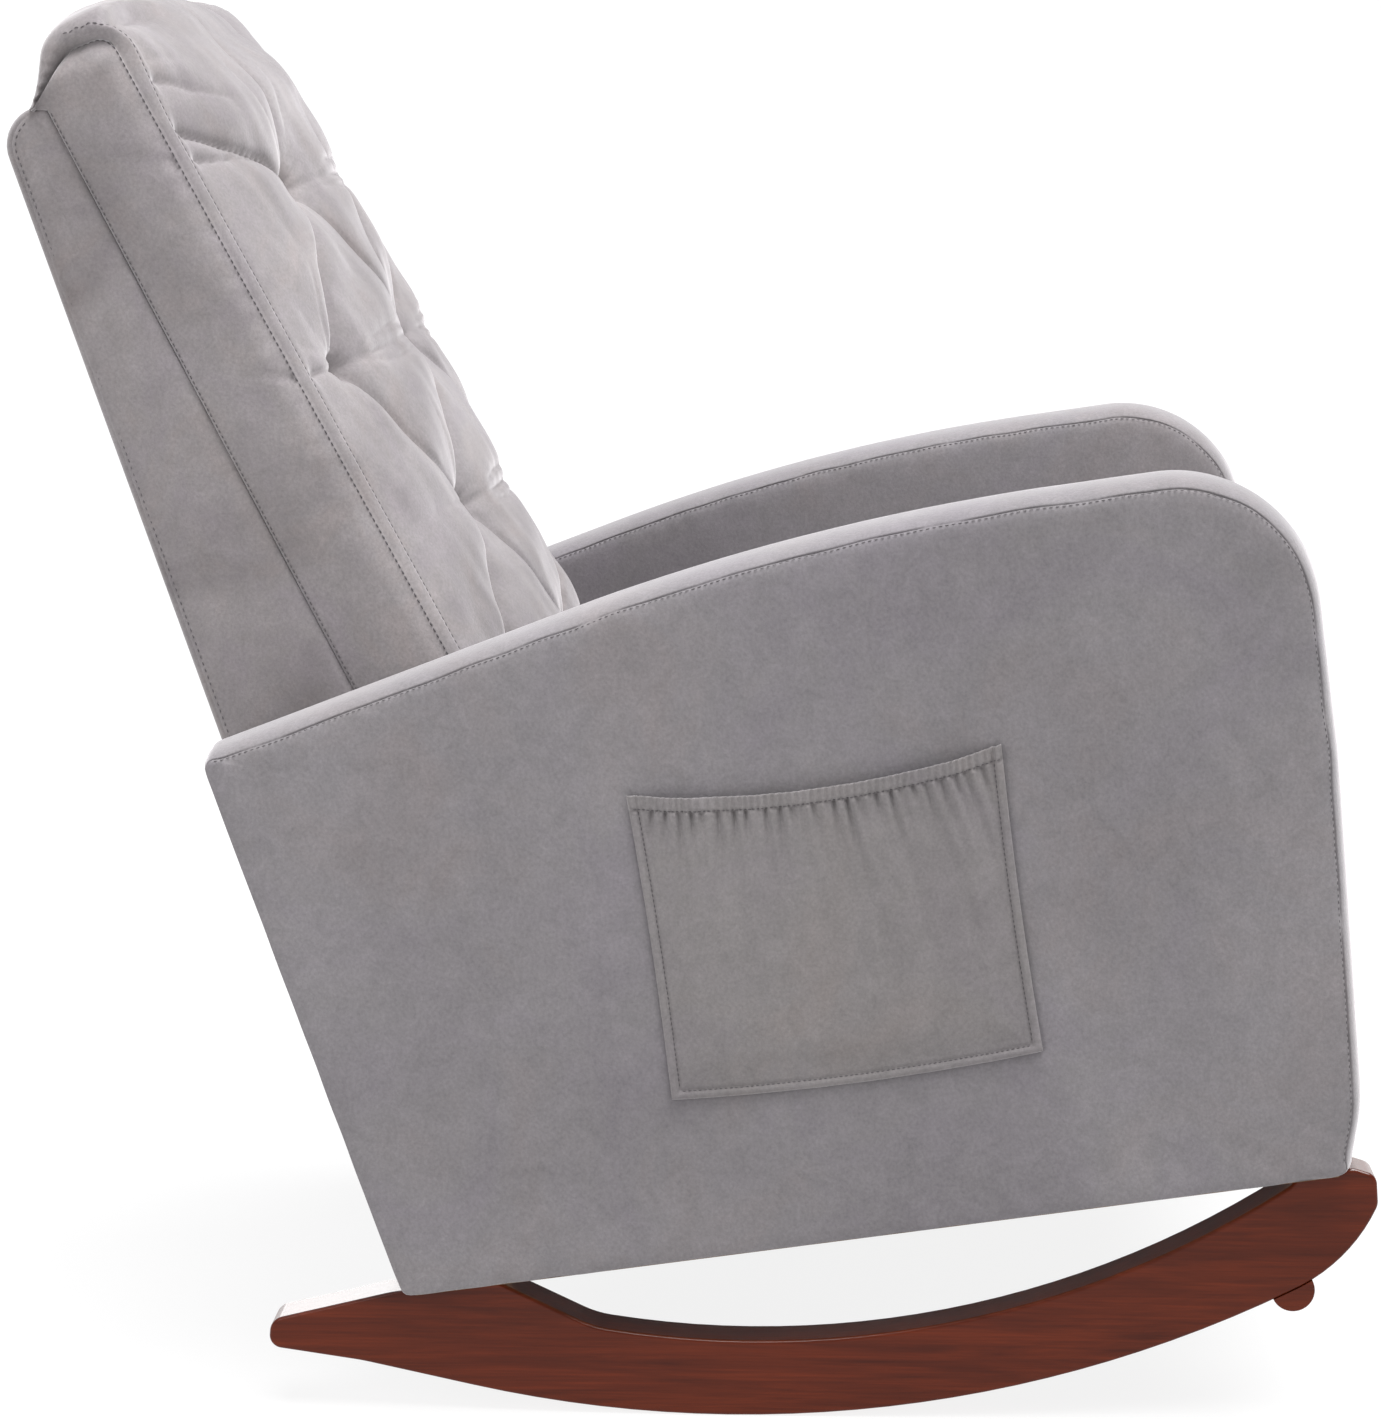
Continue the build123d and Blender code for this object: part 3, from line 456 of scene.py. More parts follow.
def boxed_form(outline, normals, spine, crown, seam, x_from, x_to, strip_rows, drop, rise, panel_wave):
    """A grid of points for a padded slab, and its seam line.

    Its silhouette is outline, in (Y, Z), and spine is where each of its points heads inwards. The two
    panels lie at x_from and x_to, and between their seams a strip stands crown proud, most of it
    within rise of the seams. seam is the depth of the groove along each seam, and drop is how far the
    panels sink towards it."""
    seam_line = outline - normals * crown[:, None]
    clearance = np.maximum(((seam_line - spine) * normals).sum(1), LEAST_CLEARANCE)
    inward = math.copysign(1, x_to - x_from)
    panels = []
    for face_x, direction, order in ((x_from, inward, -1), (x_to, -inward, 1)):
        panel = []
        shares = [(depth, 1 - np.exp(-depth / clearance)) for depth in PANEL_DEPTHS]
        last = shares[-1][1]
        shares += [(PANEL_DEPTHS[-1] + INNER_DEPTH * w, last + (1 - last) * w) for w in PANEL_SHARES]
        for depth, share in shares:
            flat = seam_line + (spine - seam_line) * share[:, None]
            sink = drop * math.exp(-depth / DROP_REACH) + seam * math.exp(-depth / GROOVE_REACH)
            sink = sink + panel_wave(flat, depth)
            panel.append(at_x(face_x + direction * sink, flat))
        panels.append(panel[::order])
    strip = []
    width = abs(x_to - x_from) - 2 * drop
    near = np.array(NEAR_SEAM) / width
    inner = np.linspace(near[-1], 1 - near[-1], strip_rows)[1:-1]
    for share in np.concatenate((near, inner, 1 - near[::-1])):
        edge = width * min(share, 1 - share)
        lift = crown * (1 - math.exp(-edge / rise)) - seam * math.exp(-edge / GROOVE_REACH)
        ring = seam_line + normals * lift[:, None]
        strip.append(at_x(x_from + inward * (drop + share * width), ring))
    return np.array(panels[0] + strip + panels[1]), seam_line


def surface_normals(grid, side):
    """Unit normals of a grid of points, turned to the side given by a direction."""
    normals = unit(np.cross(np.gradient(grid, axis=0), np.gradient(grid, axis=1)))
    return normals * np.where((normals @ np.asarray(side, float)) < 0, -1, 1)[..., None]


STITCH_SECTIONS = ((0.0, 0.35, 0.0), (1 / 3, 1.0, 0.3), (2 / 3, 1.0, 0.3), (1.0, 0.35, 0.0))
STITCH_SIDES = 4


def stitches(name, path, outward, pitch, length, radius, raised=0.0):
    """A row of short stitches along a path, lying on the side that faces outward.

    Each stitch is a thin bar with the sections of STITCH_SECTIONS: place along it, share of the
    radius and height of its hump."""
    along = lengths(path)
    share, swell, hump = np.array(STITCH_SECTIONS).T[..., None]
    where = np.arange(pitch / 2, along[-1] - length, pitch)[:, None] + share[:, 0] * length
    spots = interpolated(where, along, path)
    tangent = unit(interpolated(where + 1, along, path) - spots)
    away = interpolated(where, along, outward)
    away = unit(away - tangent * (away * tangent).sum(-1, keepdims=True))[:, :, None]
    across = np.cross(tangent[:, :, None], away)
    angles = np.linspace(0, 2 * math.pi, STITCH_SIDES + 1)[:-1]
    up = np.sin(angles) * radius * swell + hump + raised
    aside = np.cos(angles) * radius * swell
    points = (spots[:, :, None] + away * up[..., None] + across * aside[..., None]).reshape(-1, 3)
    bar = len(STITCH_SECTIONS) * STITCH_SIDES
    quads = [*grid_faces(len(STITCH_SECTIONS), STITCH_SIDES, closed=True)]
    quads += [np.arange(STITCH_SIDES)[::-1], np.arange(bar - STITCH_SIDES, bar)]
    faces = [quad + base for base in range(0, len(points), bar) for quad in quads]
    piece = mesh_piece(name, points, faces, THREAD)
    return piece


def side_stitches(name, x, line, facing, **look):
    """A row of stitches along a (Y, Z) line on an upright panel at x, which faces the given way."""
    stitches(name, at_x(x, line), np.tile((facing, 0.0, 0.0), (len(line), 1)), **look)


# ---------- arms ----------
ARM_CROWN = 9.5
ARM_EDGE_CROWN = 2.5
ARM_SEAM = 1.3
ARM_DROP = 2.4
ARM_RISE = 11.0
ARM_SPACING = 4.0
ARM_STRIP_ROWS = 18
ARM_STITCH_DEPTH = 1.9  # how far inside the panel's face the stitches lie


def arm_outline():
    rear_top_y = ARM_REAR_Y + ARM_REAR_SLOPE * ARM_REAR_HEIGHT
    bend_y = rear_top_y + (ARM_HEIGHT - ARM_REAR_HEIGHT) / ARM_TOP_SLOPE
    corners = (
        (ARM_REAR_Y, 0, 9), (rear_top_y, ARM_REAR_HEIGHT, 13), (bend_y, ARM_HEIGHT, 1600),
        (ARM_FRONT_Y - 1, ARM_HEIGHT, 100), (ARM_FRONT_Y + 1, 290, 500), (*ARM_SHIN, 120),
        (ARM_FOOT_Y, 0, 11),
    )
    return closed_outline(corners, ARM_SPACING)


def make_arm(name, side):
    """Two panels and a padded strip round them, stitched along the seams but plain below and behind."""
    outline, normals, along = arm_outline()
    bottom = smooth(-normals[:, 1], 0.5, 0.9)
    rear = smooth(normals[:, 0], 0.6, 0.9)
    plain = blurred(np.maximum(bottom, rear), 4)
    crown = ARM_CROWN + (ARM_EDGE_CROWN - ARM_CROWN) * plain
    crown = crown * (1 + 0.04 * ripple(along, 60, 11 + side))
    seam = ARM_SEAM * (1 - plain)

    def panel_wave(flat, depth):
        pucker = 0.45 * math.exp(-depth / 9.0) * (0.5 + 0.5 * ripple(along, 17, 21 + side)) * (1 - plain)
        slack = 0.5 * math.exp(-depth / 30.0) * ripple(flat, 70, 31 + side)
        hem = 0.9 * math.exp(-depth / 18.0) * bottom * ripple(along, 48, 41 + side)
        return pucker + slack + hem

    spine = np.tile((outline.min(0) + outline.max(0)) / 2, (len(outline), 1))
    grid, seam_line = boxed_form(
        outline, normals, spine, crown, seam, side * OUTER_X, side * INNER_X, ARM_STRIP_ROWS,
        ARM_DROP, ARM_RISE, panel_wave)
    piece = mesh_piece(f"arm_cover_{name}", *tube(grid), VELVET, flip=side > 0)
    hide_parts(f"arm_pad_{name}")
    count = len(along)
    sewn = np.where(plain < 0.5)[0]
    start = sewn[np.argmax(np.diff(np.append(sewn, sewn[0] + count)) > 3)] + 1
    order = [index % count for index in range(start, start + count) if plain[index % count] < 0.5]
    row = seam_line[order] - normals[order]
    for part, x, inward in (("outer", OUTER_X, -1), ("inner", INNER_X, 1)):
        side_stitches(
            f"arm_stitches_{part}_{name}", side * (x + inward * ARM_STITCH_DEPTH), row,
            side * -inward, pitch=4.4, length=2.6, radius=0.3)


# ---------- back shell ----------
SHELL_TOP_RADIUS = 27.0
SHELL_STITCH_INSET = 3.0
SHELL_STITCH_DEPTH = 1.2


def shell_front(z):
    return BACK_FRONT_Y + BACK_FRONT_SLOPE * z


def shell_rear(z):
    return BACK_REAR_Y + BACK_REAR_SLOPE * z


def make_back_shell():
    """The wedge-shaped shell, with a crowned rear and a stitched seam at each of its rear edges."""
    corners = (
        (shell_front(BACK_BOTTOM), BACK_BOTTOM, 4), (shell_front(BACK_TOP), BACK_TOP, 5),
        (shell_rear(BACK_TOP), BACK_TOP, SHELL_TOP_RADIUS), (shell_rear(BACK_BOTTOM), BACK_BOTTOM, 6),
    )
    outline, normals, _ = closed_outline(corners, 5.0)
    middle_y = (shell_front(BACK_BOTTOM) + shell_rear(BACK_BOTTOM)) / 2
    start = np.argmin(np.hypot(outline[:, 0] - middle_y, outline[:, 1] - BACK_BOTTOM))
    outline = np.roll(outline, -start, axis=0)
    normals = np.roll(normals, -start, axis=0)
    rear = blurred(smooth(normals[:, 0], -0.2, 0.5), 3)
    crown = 1.5 + 4.0 * rear
    seam = 1.0 * rear

    def panel_wave(flat, depth):
        above_arm = smooth(flat[:, 1], 400, 560)
        small = 0.35 * ripple(flat, 38, 53) * math.exp(-depth / 25)
        return (0.6 * ripple(flat, 110, 52) + small) * above_arm

    half = INNER_X - FIT_GAP
    spine_z = np.clip(outline[:, 1], BACK_BOTTOM + 50, BACK_TOP - 40)
    spine = np.column_stack(((shell_front(spine_z) + shell_rear(spine_z)) / 2, spine_z))
    grid, seam_line = boxed_form(
        outline, normals, spine, crown, seam, -half, half, 60, 2.4, 3.5, panel_wave)
    piece = mesh_piece("back_shell_cover", *tube(grid), BACK_VELVET)
    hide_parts("back_shell")
    sewn = rear > 0.6
    row = seam_line[sewn] - normals[sewn] * SHELL_STITCH_INSET
    for name, side in (("right", -1), ("left", 1)):
        side_stitches(
            f"shell_stitches_{name}", side * (half - SHELL_STITCH_DEPTH), row, side,
            pitch=5.0, length=2.8, radius=0.4)


# ---------- back cushion ----------
FACE_HALF = 254.0
FACE_PATH = ((-84.7, 150.0, 0), (184, 889, 15), (216, 882, 22), (243, 844, 0))
FACE_LEAN = math.atan(BACK_FRONT_SLOPE)
ROLL_START_Z = 872.0
ROLL_BAND = (92, 62)  # from the face's end, where the band hanging over the side begins
CUSHION_BOTTOM = 150.0
FACE_CROWN = 62.0
BUTTON_LEVEL = 37.0  # height of the middle buttons over the seams
TUFT_ROW_GAP = 124.0
GATHER_LENGTH = 8.5
FACE_EDGE_STEPS = (0, 0.7, 1.6, 3.0, 4.5, 5.9, 6.6, 7.4, 8.6, 10.5, 13.0, 16.0, 19.0)
SIDE_SHARES = (
    0, 0.012, 0.03, 0.06, 0.10, 0.16, 0.23, 0.31, 0.4, 0.5, 0.6, 0.69, 0.77, 0.84, 0.9, 0.95, 0.98, 0.992)
# Wrinkles of the side panels where folds reach the seam: height, width, depth and reach.
SIDE_WRINKLES = ((802, 2.6, 2.0, 0.45), (796, 2.2, 1.5, 0.4), (641, 3.0, 2.4, 0.3))

# Folds of one half of the face: points (distance from the middle, height), depth at the first and
# at the last point, width, and how sharp the crease is.
HALF_FOLDS = (
    (((95, 760), (136, 781), (187, 796), (222, 811), (253, 824)), 18, 8, 9, 1.9),
    (((112, 766), (163, 785), (223, 794), (254, 802)), 12, 6, 7, 1.6),
    (((160, 828), (200, 841), (226, 851), (253, 858)), 2, 9, 8, 1.6),
    (((196, 864), (228, 868), (253, 870)), 1, 5, 5, 1.2),
    (((190, 636), (222, 638), (254, 641)), 13, 7, 7, 1.6),
    (((190, 636), (216, 649), (244, 663)), 10, 1.5, 5, 1.3),
    (((190, 636), (204, 658), (222, 684)), 9, 1, 5, 1.2),
    (((190, 636), (190, 668), (180, 706)), 10, 1, 7, 1.0),
    (((190, 636), (214, 622), (240, 600)), 9, 1, 7, 0.9),
    (((190, 388), (222, 388), (254, 384)), 13, 6, 9, 1.2),
    (((95, 512), (150, 519), (226, 520)), 10, 0.5, 12, 0.7),
    (((95, 512), (92, 550), (100, 590)), 9, 1, 7, 1.0),
    (((95, 760), (84, 820), (80, 880), (86, 950)), 13, 2, 9, 1.2),
    (((95, 760), (112, 812), (122, 850)), 9, 1, 6, 1.1),
    (((95, 760), (70, 800), (52, 846)), 9, 1, 7, 1.0),
    (((190, 388), (180, 320), (186, 200)), 12, 3, 14, 0.7),
)
MIDDLE_FOLDS = (
    (((0, 636), (-6, 690), (4, 760), (0, 840)), 10, 1, 9, 1.0),
    (((0, 388), (0, 300), (0, 200)), 12, 3, 14, 0.7),
)
# Folds between two buttons of a row: rise of their middle and of their end, depth, width, crease.
ROW_FOLDS = ((-3, 0, 11, 9, 1.0), (-13, -2, 8, 5, 1.0), (9, 1, 7, 4, 1.0))
SPOKES = 7  # short folds round each button


def tuft_places():
    for z, count in TUFT_ROWS:
        for index in range(count):
            yield (2 * index - count + 1) * TUFT_SPACING, z


def face_crown(x):
    """Height of the face over its seams, without its tufts."""
    return FACE_CROWN * (1 - (np.abs(x) / (FACE_HALF + 0.5)) ** 1.8) ** 0.75


def face_heights(along):
    """Height of each row of the face, measured on the straight lean of the shell."""
    return CUSHION_BOTTOM + along * math.cos(FACE_LEAN)


def face_folds():
    """Folds of the tufted face, as in HALF_FOLDS but with X for the distance from the middle."""
    places = sorted(tuft_places())
    folds = []
    for x, z in places:
        for other_x, other_z in places:
            middle_x, middle_z = (x + other_x) / 2, (z + other_z) / 2
            if other_z == z and other_x - x == 2 * TUFT_SPACING:
                for middle, end, depth, width, crease in ROW_FOLDS:
                    points = ((x, z), (middle_x, z + middle), (other_x, z + end))
                    folds.append((points, depth, depth, width, crease))
            if z - other_z == TUFT_ROW_GAP and abs(other_x - x) == TUFT_SPACING:
                outward = 1 if abs(other_x) > abs(x) else -1
                middle = (middle_x + 0.12 * (other_x - x) * outward, middle_z + 5 * outward)
                folds.append((((x, z), middle, (other_x, other_z)), 14, 14, 12, 1.6))
    for side in (-1, 1):
        folds += [(tuple((x * side, z) for x, z in points), *look) for points, *look in HALF_FOLDS]
    folds += MIDDLE_FOLDS
    random = np.random.default_rng(67)
    for x, z in places:
        for spoke in range(SPOKES):
            angle = 2 * math.pi * (spoke + random.uniform(-0.35, 0.35)) / SPOKES
            length = random.uniform(26, 52)
            bent = angle + random.uniform(-0.3, 0.3)
            middle = (x + 0.5 * length * math.cos(bent), z + 0.5 * length * math.sin(bent))
            end = (x + length * math.cos(angle), z + length * math.sin(angle))
            folds.append((((x, z), middle, end), random.uniform(8, 12), 0.5, 4, 1.2))
    return folds


def curve_through(path):
    """Dense points of a smooth curve through the given points."""
    path = np.array(path, float)
    padded = np.concatenate(([2 * path[0] - path[1]], path, [2 * path[-1] - path[-2]]))
    points = []
    for a, b, c, d in zip(padded[:-3], padded[1:-2], padded[2:-1], padded[3:]):
        for t in np.linspace(0, 1, 9)[:-1]:
            square = (2 * a - 5 * b + 4 * c - d) * t * t
            points.append(0.5 * (2 * b + (c - a) * t + square + (3 * b - a - 3 * c + d) * t ** 3))
    points.append(path[-1])
    return np.array(points)


def distance_to(points, path):
    """Distance from each point to a curved path, and how far along it the nearest place is, 0 to 1."""
    path, _ = resample(curve_through(path), 3.0, False)
    best = np.full(len(points), 1e9)
    share = np.zeros(len(points))
    for index, (a, b) in enumerate(zip(path[:-1], path[1:])):
        run = b - a
        t = np.clip(((points - a) @ run) / (run @ run), 0, 1)
        gap = np.linalg.norm(points - (a + t[:, None] * run), axis=1)
        nearer = gap < best
        best[nearer] = gap[nearer]
        share[nearer] = (index + t[nearer]) / (len(path) - 1)
    return best, share


def tuft_relief(x, height):
    """How far buttons and folds pull the face in, over its X and its height along the face."""
    spots = np.column_stack((x, height))
    pull = np.zeros(len(x))
    for button_x, button_z in tuft_places():
        gap = np.hypot(x - button_x, height - button_z)
        deep = face_crown(button_x) - BUTTON_LEVEL * (1 - (button_x / FACE_HALF) ** 2)
        angle = np.arctan2(height - button_z, x - button_x)
        around = np.column_stack((3 * np.cos(angle), 3 * np.sin(angle)))
        pleats = 1 + 0.16 * np.exp(-gap / 16.0) * ripple(around, 2.2, 65)
        dimple = deep * (0.50 * np.exp(-gap / 15.0) + 0.50 * np.exp(-(gap / 46.0) ** 2)) * pleats
        pull = merged(pull, dimple + 12.0 * np.exp(-(gap / 8.5) ** 2))
    for path, first, last, width, crease in face_folds():
        margin = 3 * width + 12
        low = np.min(path, axis=0) - margin
        high = np.max(path, axis=0) + margin
        near = np.where(((spots > low) & (spots < high)).all(1))[0]
        gap, share = distance_to(spots[near], path)
        between_buttons = abs(first - last) < 1
        middle = np.sin(math.pi * share)
        slack = 0.55 * middle ** 0.8 if between_buttons else 0.35 * middle
        depth = (first + (last - first) * share) * (1 - slack)
        broad = 0.46 * np.exp(-(gap / (1.9 * width)) ** 2) + 0.46 * np.exp(-gap / (0.55 * width))
        pull[near] = merged(pull[near], depth * (broad + 0.32 * crease * np.exp(-gap / 2.2)))
    return pull


LIP_LEVEL = 896.0


def lip_relief(x, height):
    """The roll over the top bulges out above a crease and hangs over the face below it."""
    edge = FACE_HALF - np.abs(x)
    above = height - (LIP_LEVEL - 0.0006 * edge.clip(0) ** 2)
    reach = 1 - smooth(edge, 55, 130)
    bulge = 1.5 * np.exp(-above.clip(0) / 16.0) * smooth(above, -1.5, 2.5)
    hollow = 16.0 * np.exp(-(-above).clip(0) / 13.0) * (1 - smooth(above, -3.5, 1.0))
    return reach * smooth(edge, 5, 14) * (bulge - hollow)


def cushion_rows():
    """The seam between face and side panel: its path, normals and length, and the shell behind it."""
    path, along = resample(rounded_path(FACE_PATH, False), 2.4, False)
    top = np.argmax(path[:, 1] >= ROLL_START_Z)
    shell_z = np.interp(along, [0, along[top]], [CUSHION_BOTTOM, BACK_TOP - 4])
    roll = np.clip(along - along[top], 0, None) / (along[-1] - along[top])
    shell = np.column_stack((shell_front(shell_z) + 1 + 10 * roll, shell_z + 2 * roll))
    return path, side_normals(path, False), along, shell, roll


def roll_band(along):
    """1 where the roll's end band hangs over the side, 0 below it, up the face."""
    start, end = ROLL_BAND
    return smooth(along, along[-1] - start, along[-1] - end)


def cushion_face(path, normals, along, xs):
    """The tufted face as a grid of points, a row for each point of the seam's path."""
    shape = (len(path), len(xs))
    x_grid = np.tile(xs, (len(path), 1))
    s_grid = np.tile(along[:, None], (1, len(xs)))
    height = np.tile(face_heights(along)[:, None], (1, len(xs)))
    edge = FACE_HALF - np.abs(x_grid)
    roll = smooth(along, along[-1] - 150, along[-1] - 70)[:, None]
    tail = smooth(along, along[-1] - 55, along[-1])[:, None]
    over = roll_band(along)[:, None]
    roll_crown = 17 * (1 - (np.abs(x_grid) / FACE_HALF) ** 3.6) + 17 * (1 - np.exp(-edge / 8))
    crown = (face_crown(x_grid) * (1 - roll) + roll_crown * roll) * (1 - 0.72 * tail)
    pull = tuft_relief(x_grid.ravel(), height.ravel()).reshape(shape)
    foot = smooth(height, CUSHION_BOTTOM, CUSHION_BOTTOM + 60)
    pull = pull * smooth(edge, 5.5, 18) * (1 - 0.3 * roll) * foot
    waves = 1.3 * ripple(np.column_stack((x_grid.ravel(), s_grid.ravel())), 90, 61)
    waves += 0.5 * ripple(np.column_stack((x_grid.ravel(), s_grid.ravel() * 0.6)), 30, 62)
    waves = waves.reshape(shape) * smooth(edge, 7, 40)
    band = 0.6 * smooth(edge, 0.7, 1.6) * (1 - smooth(edge, 5.9, 6.8))
    band -= 1.2 * np.exp(-(edge / 0.9) ** 2) + 0.5 * np.exp(-((edge - 6.8) / 0.8) ** 2)
    gathers = 0.9 * np.sin(2 * math.pi * s_grid / GATHER_LENGTH)
    gathers *= smooth(edge, 1, 3) * (1 - smooth(edge, 7, 12))
    lift = crown - pull + lip_relief(x_grid, height) + waves + band * (1 - 0.5 * over) + gathers * over
    overhang = 14.0 * (1 - np.exp(-edge / 2.5)) * (1 - smooth(edge, 12, 44)) - 5.0 * np.exp(-edge / 3.0)
    return np.stack((
        x_grid + np.sign(x_grid) * over * overhang,
        path[:, 0][:, None] + normals[:, 0][:, None] * lift,
        path[:, 1][:, None] + normals[:, 1][:, None] * lift), axis=-1)


def cushion_side(path, along, shell, side):
    """One side panel, from the shell to the seam, as a grid with a row for each point of the path."""
    above_arm = smooth(path[:, 1], 470, 560)
    over = roll_band(along)
    columns = []
    for share in SIDE_SHARES:
        from_seam = 1 - share
        clear = smooth(from_seam, 0.015, 0.06)
        bulge = (2.0 + 4.0 * above_arm) * math.sin(math.pi * share) ** 0.7
        wrinkle = 0.9 * ripple(along, 26, 71 + side) * math.exp(-from_seam / 0.16) * clear * above_arm
        slant = face_heights(along) - 46 * from_seam
        for level, width, depth, reach in SIDE_WRINKLES:
            fade = math.exp(-from_seam / reach) * clear
            wrinkle = wrinkle - 1.4 * depth * np.exp(-((slant - level) / width) ** 2) * fade
        groove = 1.3 * math.exp(-(share / 0.014) ** 2)
        x = CUSHION_SIDE_X + 1.0 + bulge + wrinkle - groove
        x = x + (FACE_HALF - CUSHION_SIDE_X - 1.0) * smooth(share, 0.80, 1.0)
        x = x - over * 6.0 * smooth(share, 0.5, 0.95)
        columns.append(at_x(side * x, shell + (path - shell) * share))
    return np.stack(columns, axis=1)


def make_back_cushion():
    """The tufted face, two side panels and the hidden rear, with three rows of stitches a side."""
    path, normals, along, shell, roll = cushion_rows()
    xs = widthwise(FACE_HALF, FACE_EDGE_STEPS, 22, 190)
    face = cushion_face(path, normals, along, xs)
    right = cushion_side(path, along, shell, -1)
    left = cushion_side(path, along, shell, 1)
    rear_xs = np.linspace(CUSHION_SIDE_X, -CUSHION_SIDE_X, 22)[1:-1]
    rear = np.stack([at_x(x, shell) for x in rear_xs], axis=1)
    grid = np.concatenate((right, face, left[:, ::-1], rear), axis=1)
    piece = mesh_piece("back_cushion", *tube(grid), BACK_VELVET, flip=True)
    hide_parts("back_cushion_cover", "back_cushion_foam")
    face_out = surface_normals(face, (0, -1, 0.4))
    on_shell = roll == 0
    whole = slice(None)
    seam_column = len(SIDE_SHARES) - 2
    for name, side, panel, face_column in (("right", -1, right, 6), ("left", 1, left, len(xs) - 7)):
        panel_out = surface_normals(panel, (side, 0, 0))
        for row_name, surface, out, rows, column, pitch, length, radius in (
                ("cushion_stitches_side", panel, panel_out, whole, seam_column, 4.6, 3.2, 0.5),
                ("cushion_stitches_face", face, face_out, whole, face_column, 4.6, 3.2, 0.45),
                ("shell_seam_stitches", panel, panel_out, on_shell, 2, 4.2, 2.8, 0.4)):
            away = out[rows, column]
            line = surface[rows, column] + away * 0.2
            stitches(f"{row_name}_{name}", line, away, pitch, length, radius)
    return face, xs, along


BUTTON_RADIUS = 11.0
BUTTON_RISE = 6.0
BUTTON_SKIRT = 2.0
BUTTON_RINGS = 8
BUTTON_SIDES = 28


def make_buttons(face, xs, along):
    """Cloth-covered buttons at the bottoms of the tufts."""
    direction = np.array((0.0, -math.cos(FACE_LEAN), math.sin(FACE_LEAN)))
    up = np.array((0.0, math.sin(FACE_LEAN), math.cos(FACE_LEAN)))
    ring = np.arange(BUTTON_RINGS)[:, None]
    around = 2 * math.pi * np.arange(BUTTON_SIDES) / BUTTON_SIDES
    climb = math.pi / 2 * ring / BUTTON_RINGS
    rise = np.where(ring, BUTTON_RISE * np.sin(climb), -BUTTON_SKIRT)
    rings = grid_faces(BUTTON_RINGS, BUTTON_SIDES, closed=True)
    rim = np.arange(BUTTON_SIDES)
    points = []
    faces = []
    for number, (x, z) in enumerate(tuft_places()):
        row = np.argmin(np.abs(face_heights(along) - z))
        seat = face[row, np.argmin(np.abs(xs - x))] + direction * 0.5
        pleat = 1 + 0.03 * np.sin(9 * around + number) * (1 - ring / (BUTTON_RINGS + 1))
        radius = (BUTTON_RADIUS * np.cos(climb) ** 0.8 * pleat)[..., None]
        spot = seat + (ACROSS * np.cos(around)[:, None] + up * np.sin(around)[:, None]) * radius
        base = len(points) * spot[..., 0].size
        points.append(spot + direction * rise[..., None])
        faces += [*(rings + base), rim + rings.max() + 1 - BUTTON_SIDES + base, rim[::-1] + base]
    points = np.concatenate(points).reshape(-1, 3)
    piece = mesh_piece("tuft_buttons", points, faces, BACK_VELVET, flip=True)
    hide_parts("back_buttons")


# ---------- seat cushion and apron ----------
SEAT_HALF = 257.5
SEAT_LOW = 152.0
SEAT_NOSE_Y = -560.0
SEAT_EDGE_STEPS = (0, 1, 2.5, 5, 8, 12, 17, 23, 30)
BACK_CUSHION_REACH = 116.3  # from the shell to the front of the back cushion
SEAT_REAR_GAP = 6.0
APRON_REAR_Y = -535.5
APRON_LOW = 5.0
APRON_HIGH = 148.9
APRON_EDGE_STEPS = (0, 0.8, 2, 4, 7)


def slab(xs, outline, normals, lift_at):
    """Points and faces of a slab from side to side; its outline, in (Y, Z), stands lift_at(x) proud."""
    return tube(np.array([at_x(x, outline + normals * lift_at(x)[:, None]) for x in xs]))


def make_seat_cushion():
    """A boxed cushion, swollen towards its middle, with a seam along its front edges."""
    rear_low = shell_front(149.5) - BACK_CUSHION_REACH - SEAT_REAR_GAP
    rear_high = shell_front(272) - BACK_CUSHION_REACH - SEAT_REAR_GAP
    corners = (
        (SEAT_NOSE_Y, SEAT_LOW, 22), (rear_low - 1, SEAT_LOW, 16), (rear_high - 1, 268, 24),
        (-300, 281, 900), (SEAT_NOSE_Y, 264, 34),
    )
    outline, normals, _ = closed_outline(corners, 2.5)
    top = smooth(normals[:, 1], 0.3, 0.9)
    front = smooth(-normals[:, 0], 0.3, 0.9)
    seam = 1.6 * np.exp(-((np.abs(normals[:, 1]) - 0.62) / 0.09) ** 2) * smooth(-normals[:, 0], 0, 0.2)

    def lift_at(x):
        edge = SEAT_HALF - abs(x)
        share = abs(x / SEAT_HALF)
        lift = 9.0 * (1 - share ** 2.2) * top + 5.0 * (1 - share ** 3) * front - 14.0 * math.exp(-edge / 7.0)
        spots = at_x(x, outline + normals * lift[:, None])
        return lift + 0.9 * ripple(spots, 60, 81) * smooth(edge, 2, 30) - seam

    xs = widthwise(SEAT_HALF, SEAT_EDGE_STEPS, 40, 60)
    form = slab(xs, outline, normals, lift_at)
    piece = mesh_piece("seat_cushion_pad", *form, VELVET, body="seat_cushion")
    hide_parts("seat_cushion_cover", "seat_cushion_foam")


def make_apron():
    """The covered board below the seat cushion."""
    corners = (
        (APRON_REAR_Y, APRON_LOW, 1.5), (APRON_REAR_Y, APRON_HIGH, 1.5),
        (SEAT_FRONT_Y, APRON_HIGH, 9), (SEAT_FRONT_Y, APRON_LOW, 5),
    )
    outline, normals, _ = closed_outline(corners, 3.0)
    front = smooth(-normals[:, 0], 0.3, 0.9)
    half = INNER_X - FIT_GAP

    def lift_at(x):
        padding = 1.2 * (1 - abs(x / half) ** 4) + 0.5 * ripple(at_x(x, outline), 45, 91)
        return front * padding - 2.5 * math.exp(-(half - abs(x)) / 1.8)

    xs = widthwise(half, APRON_EDGE_STEPS, 12, 90)
    piece = mesh_piece("front_apron_cover", *slab(xs, outline, normals, lift_at), VELVET)
    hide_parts("front_apron")


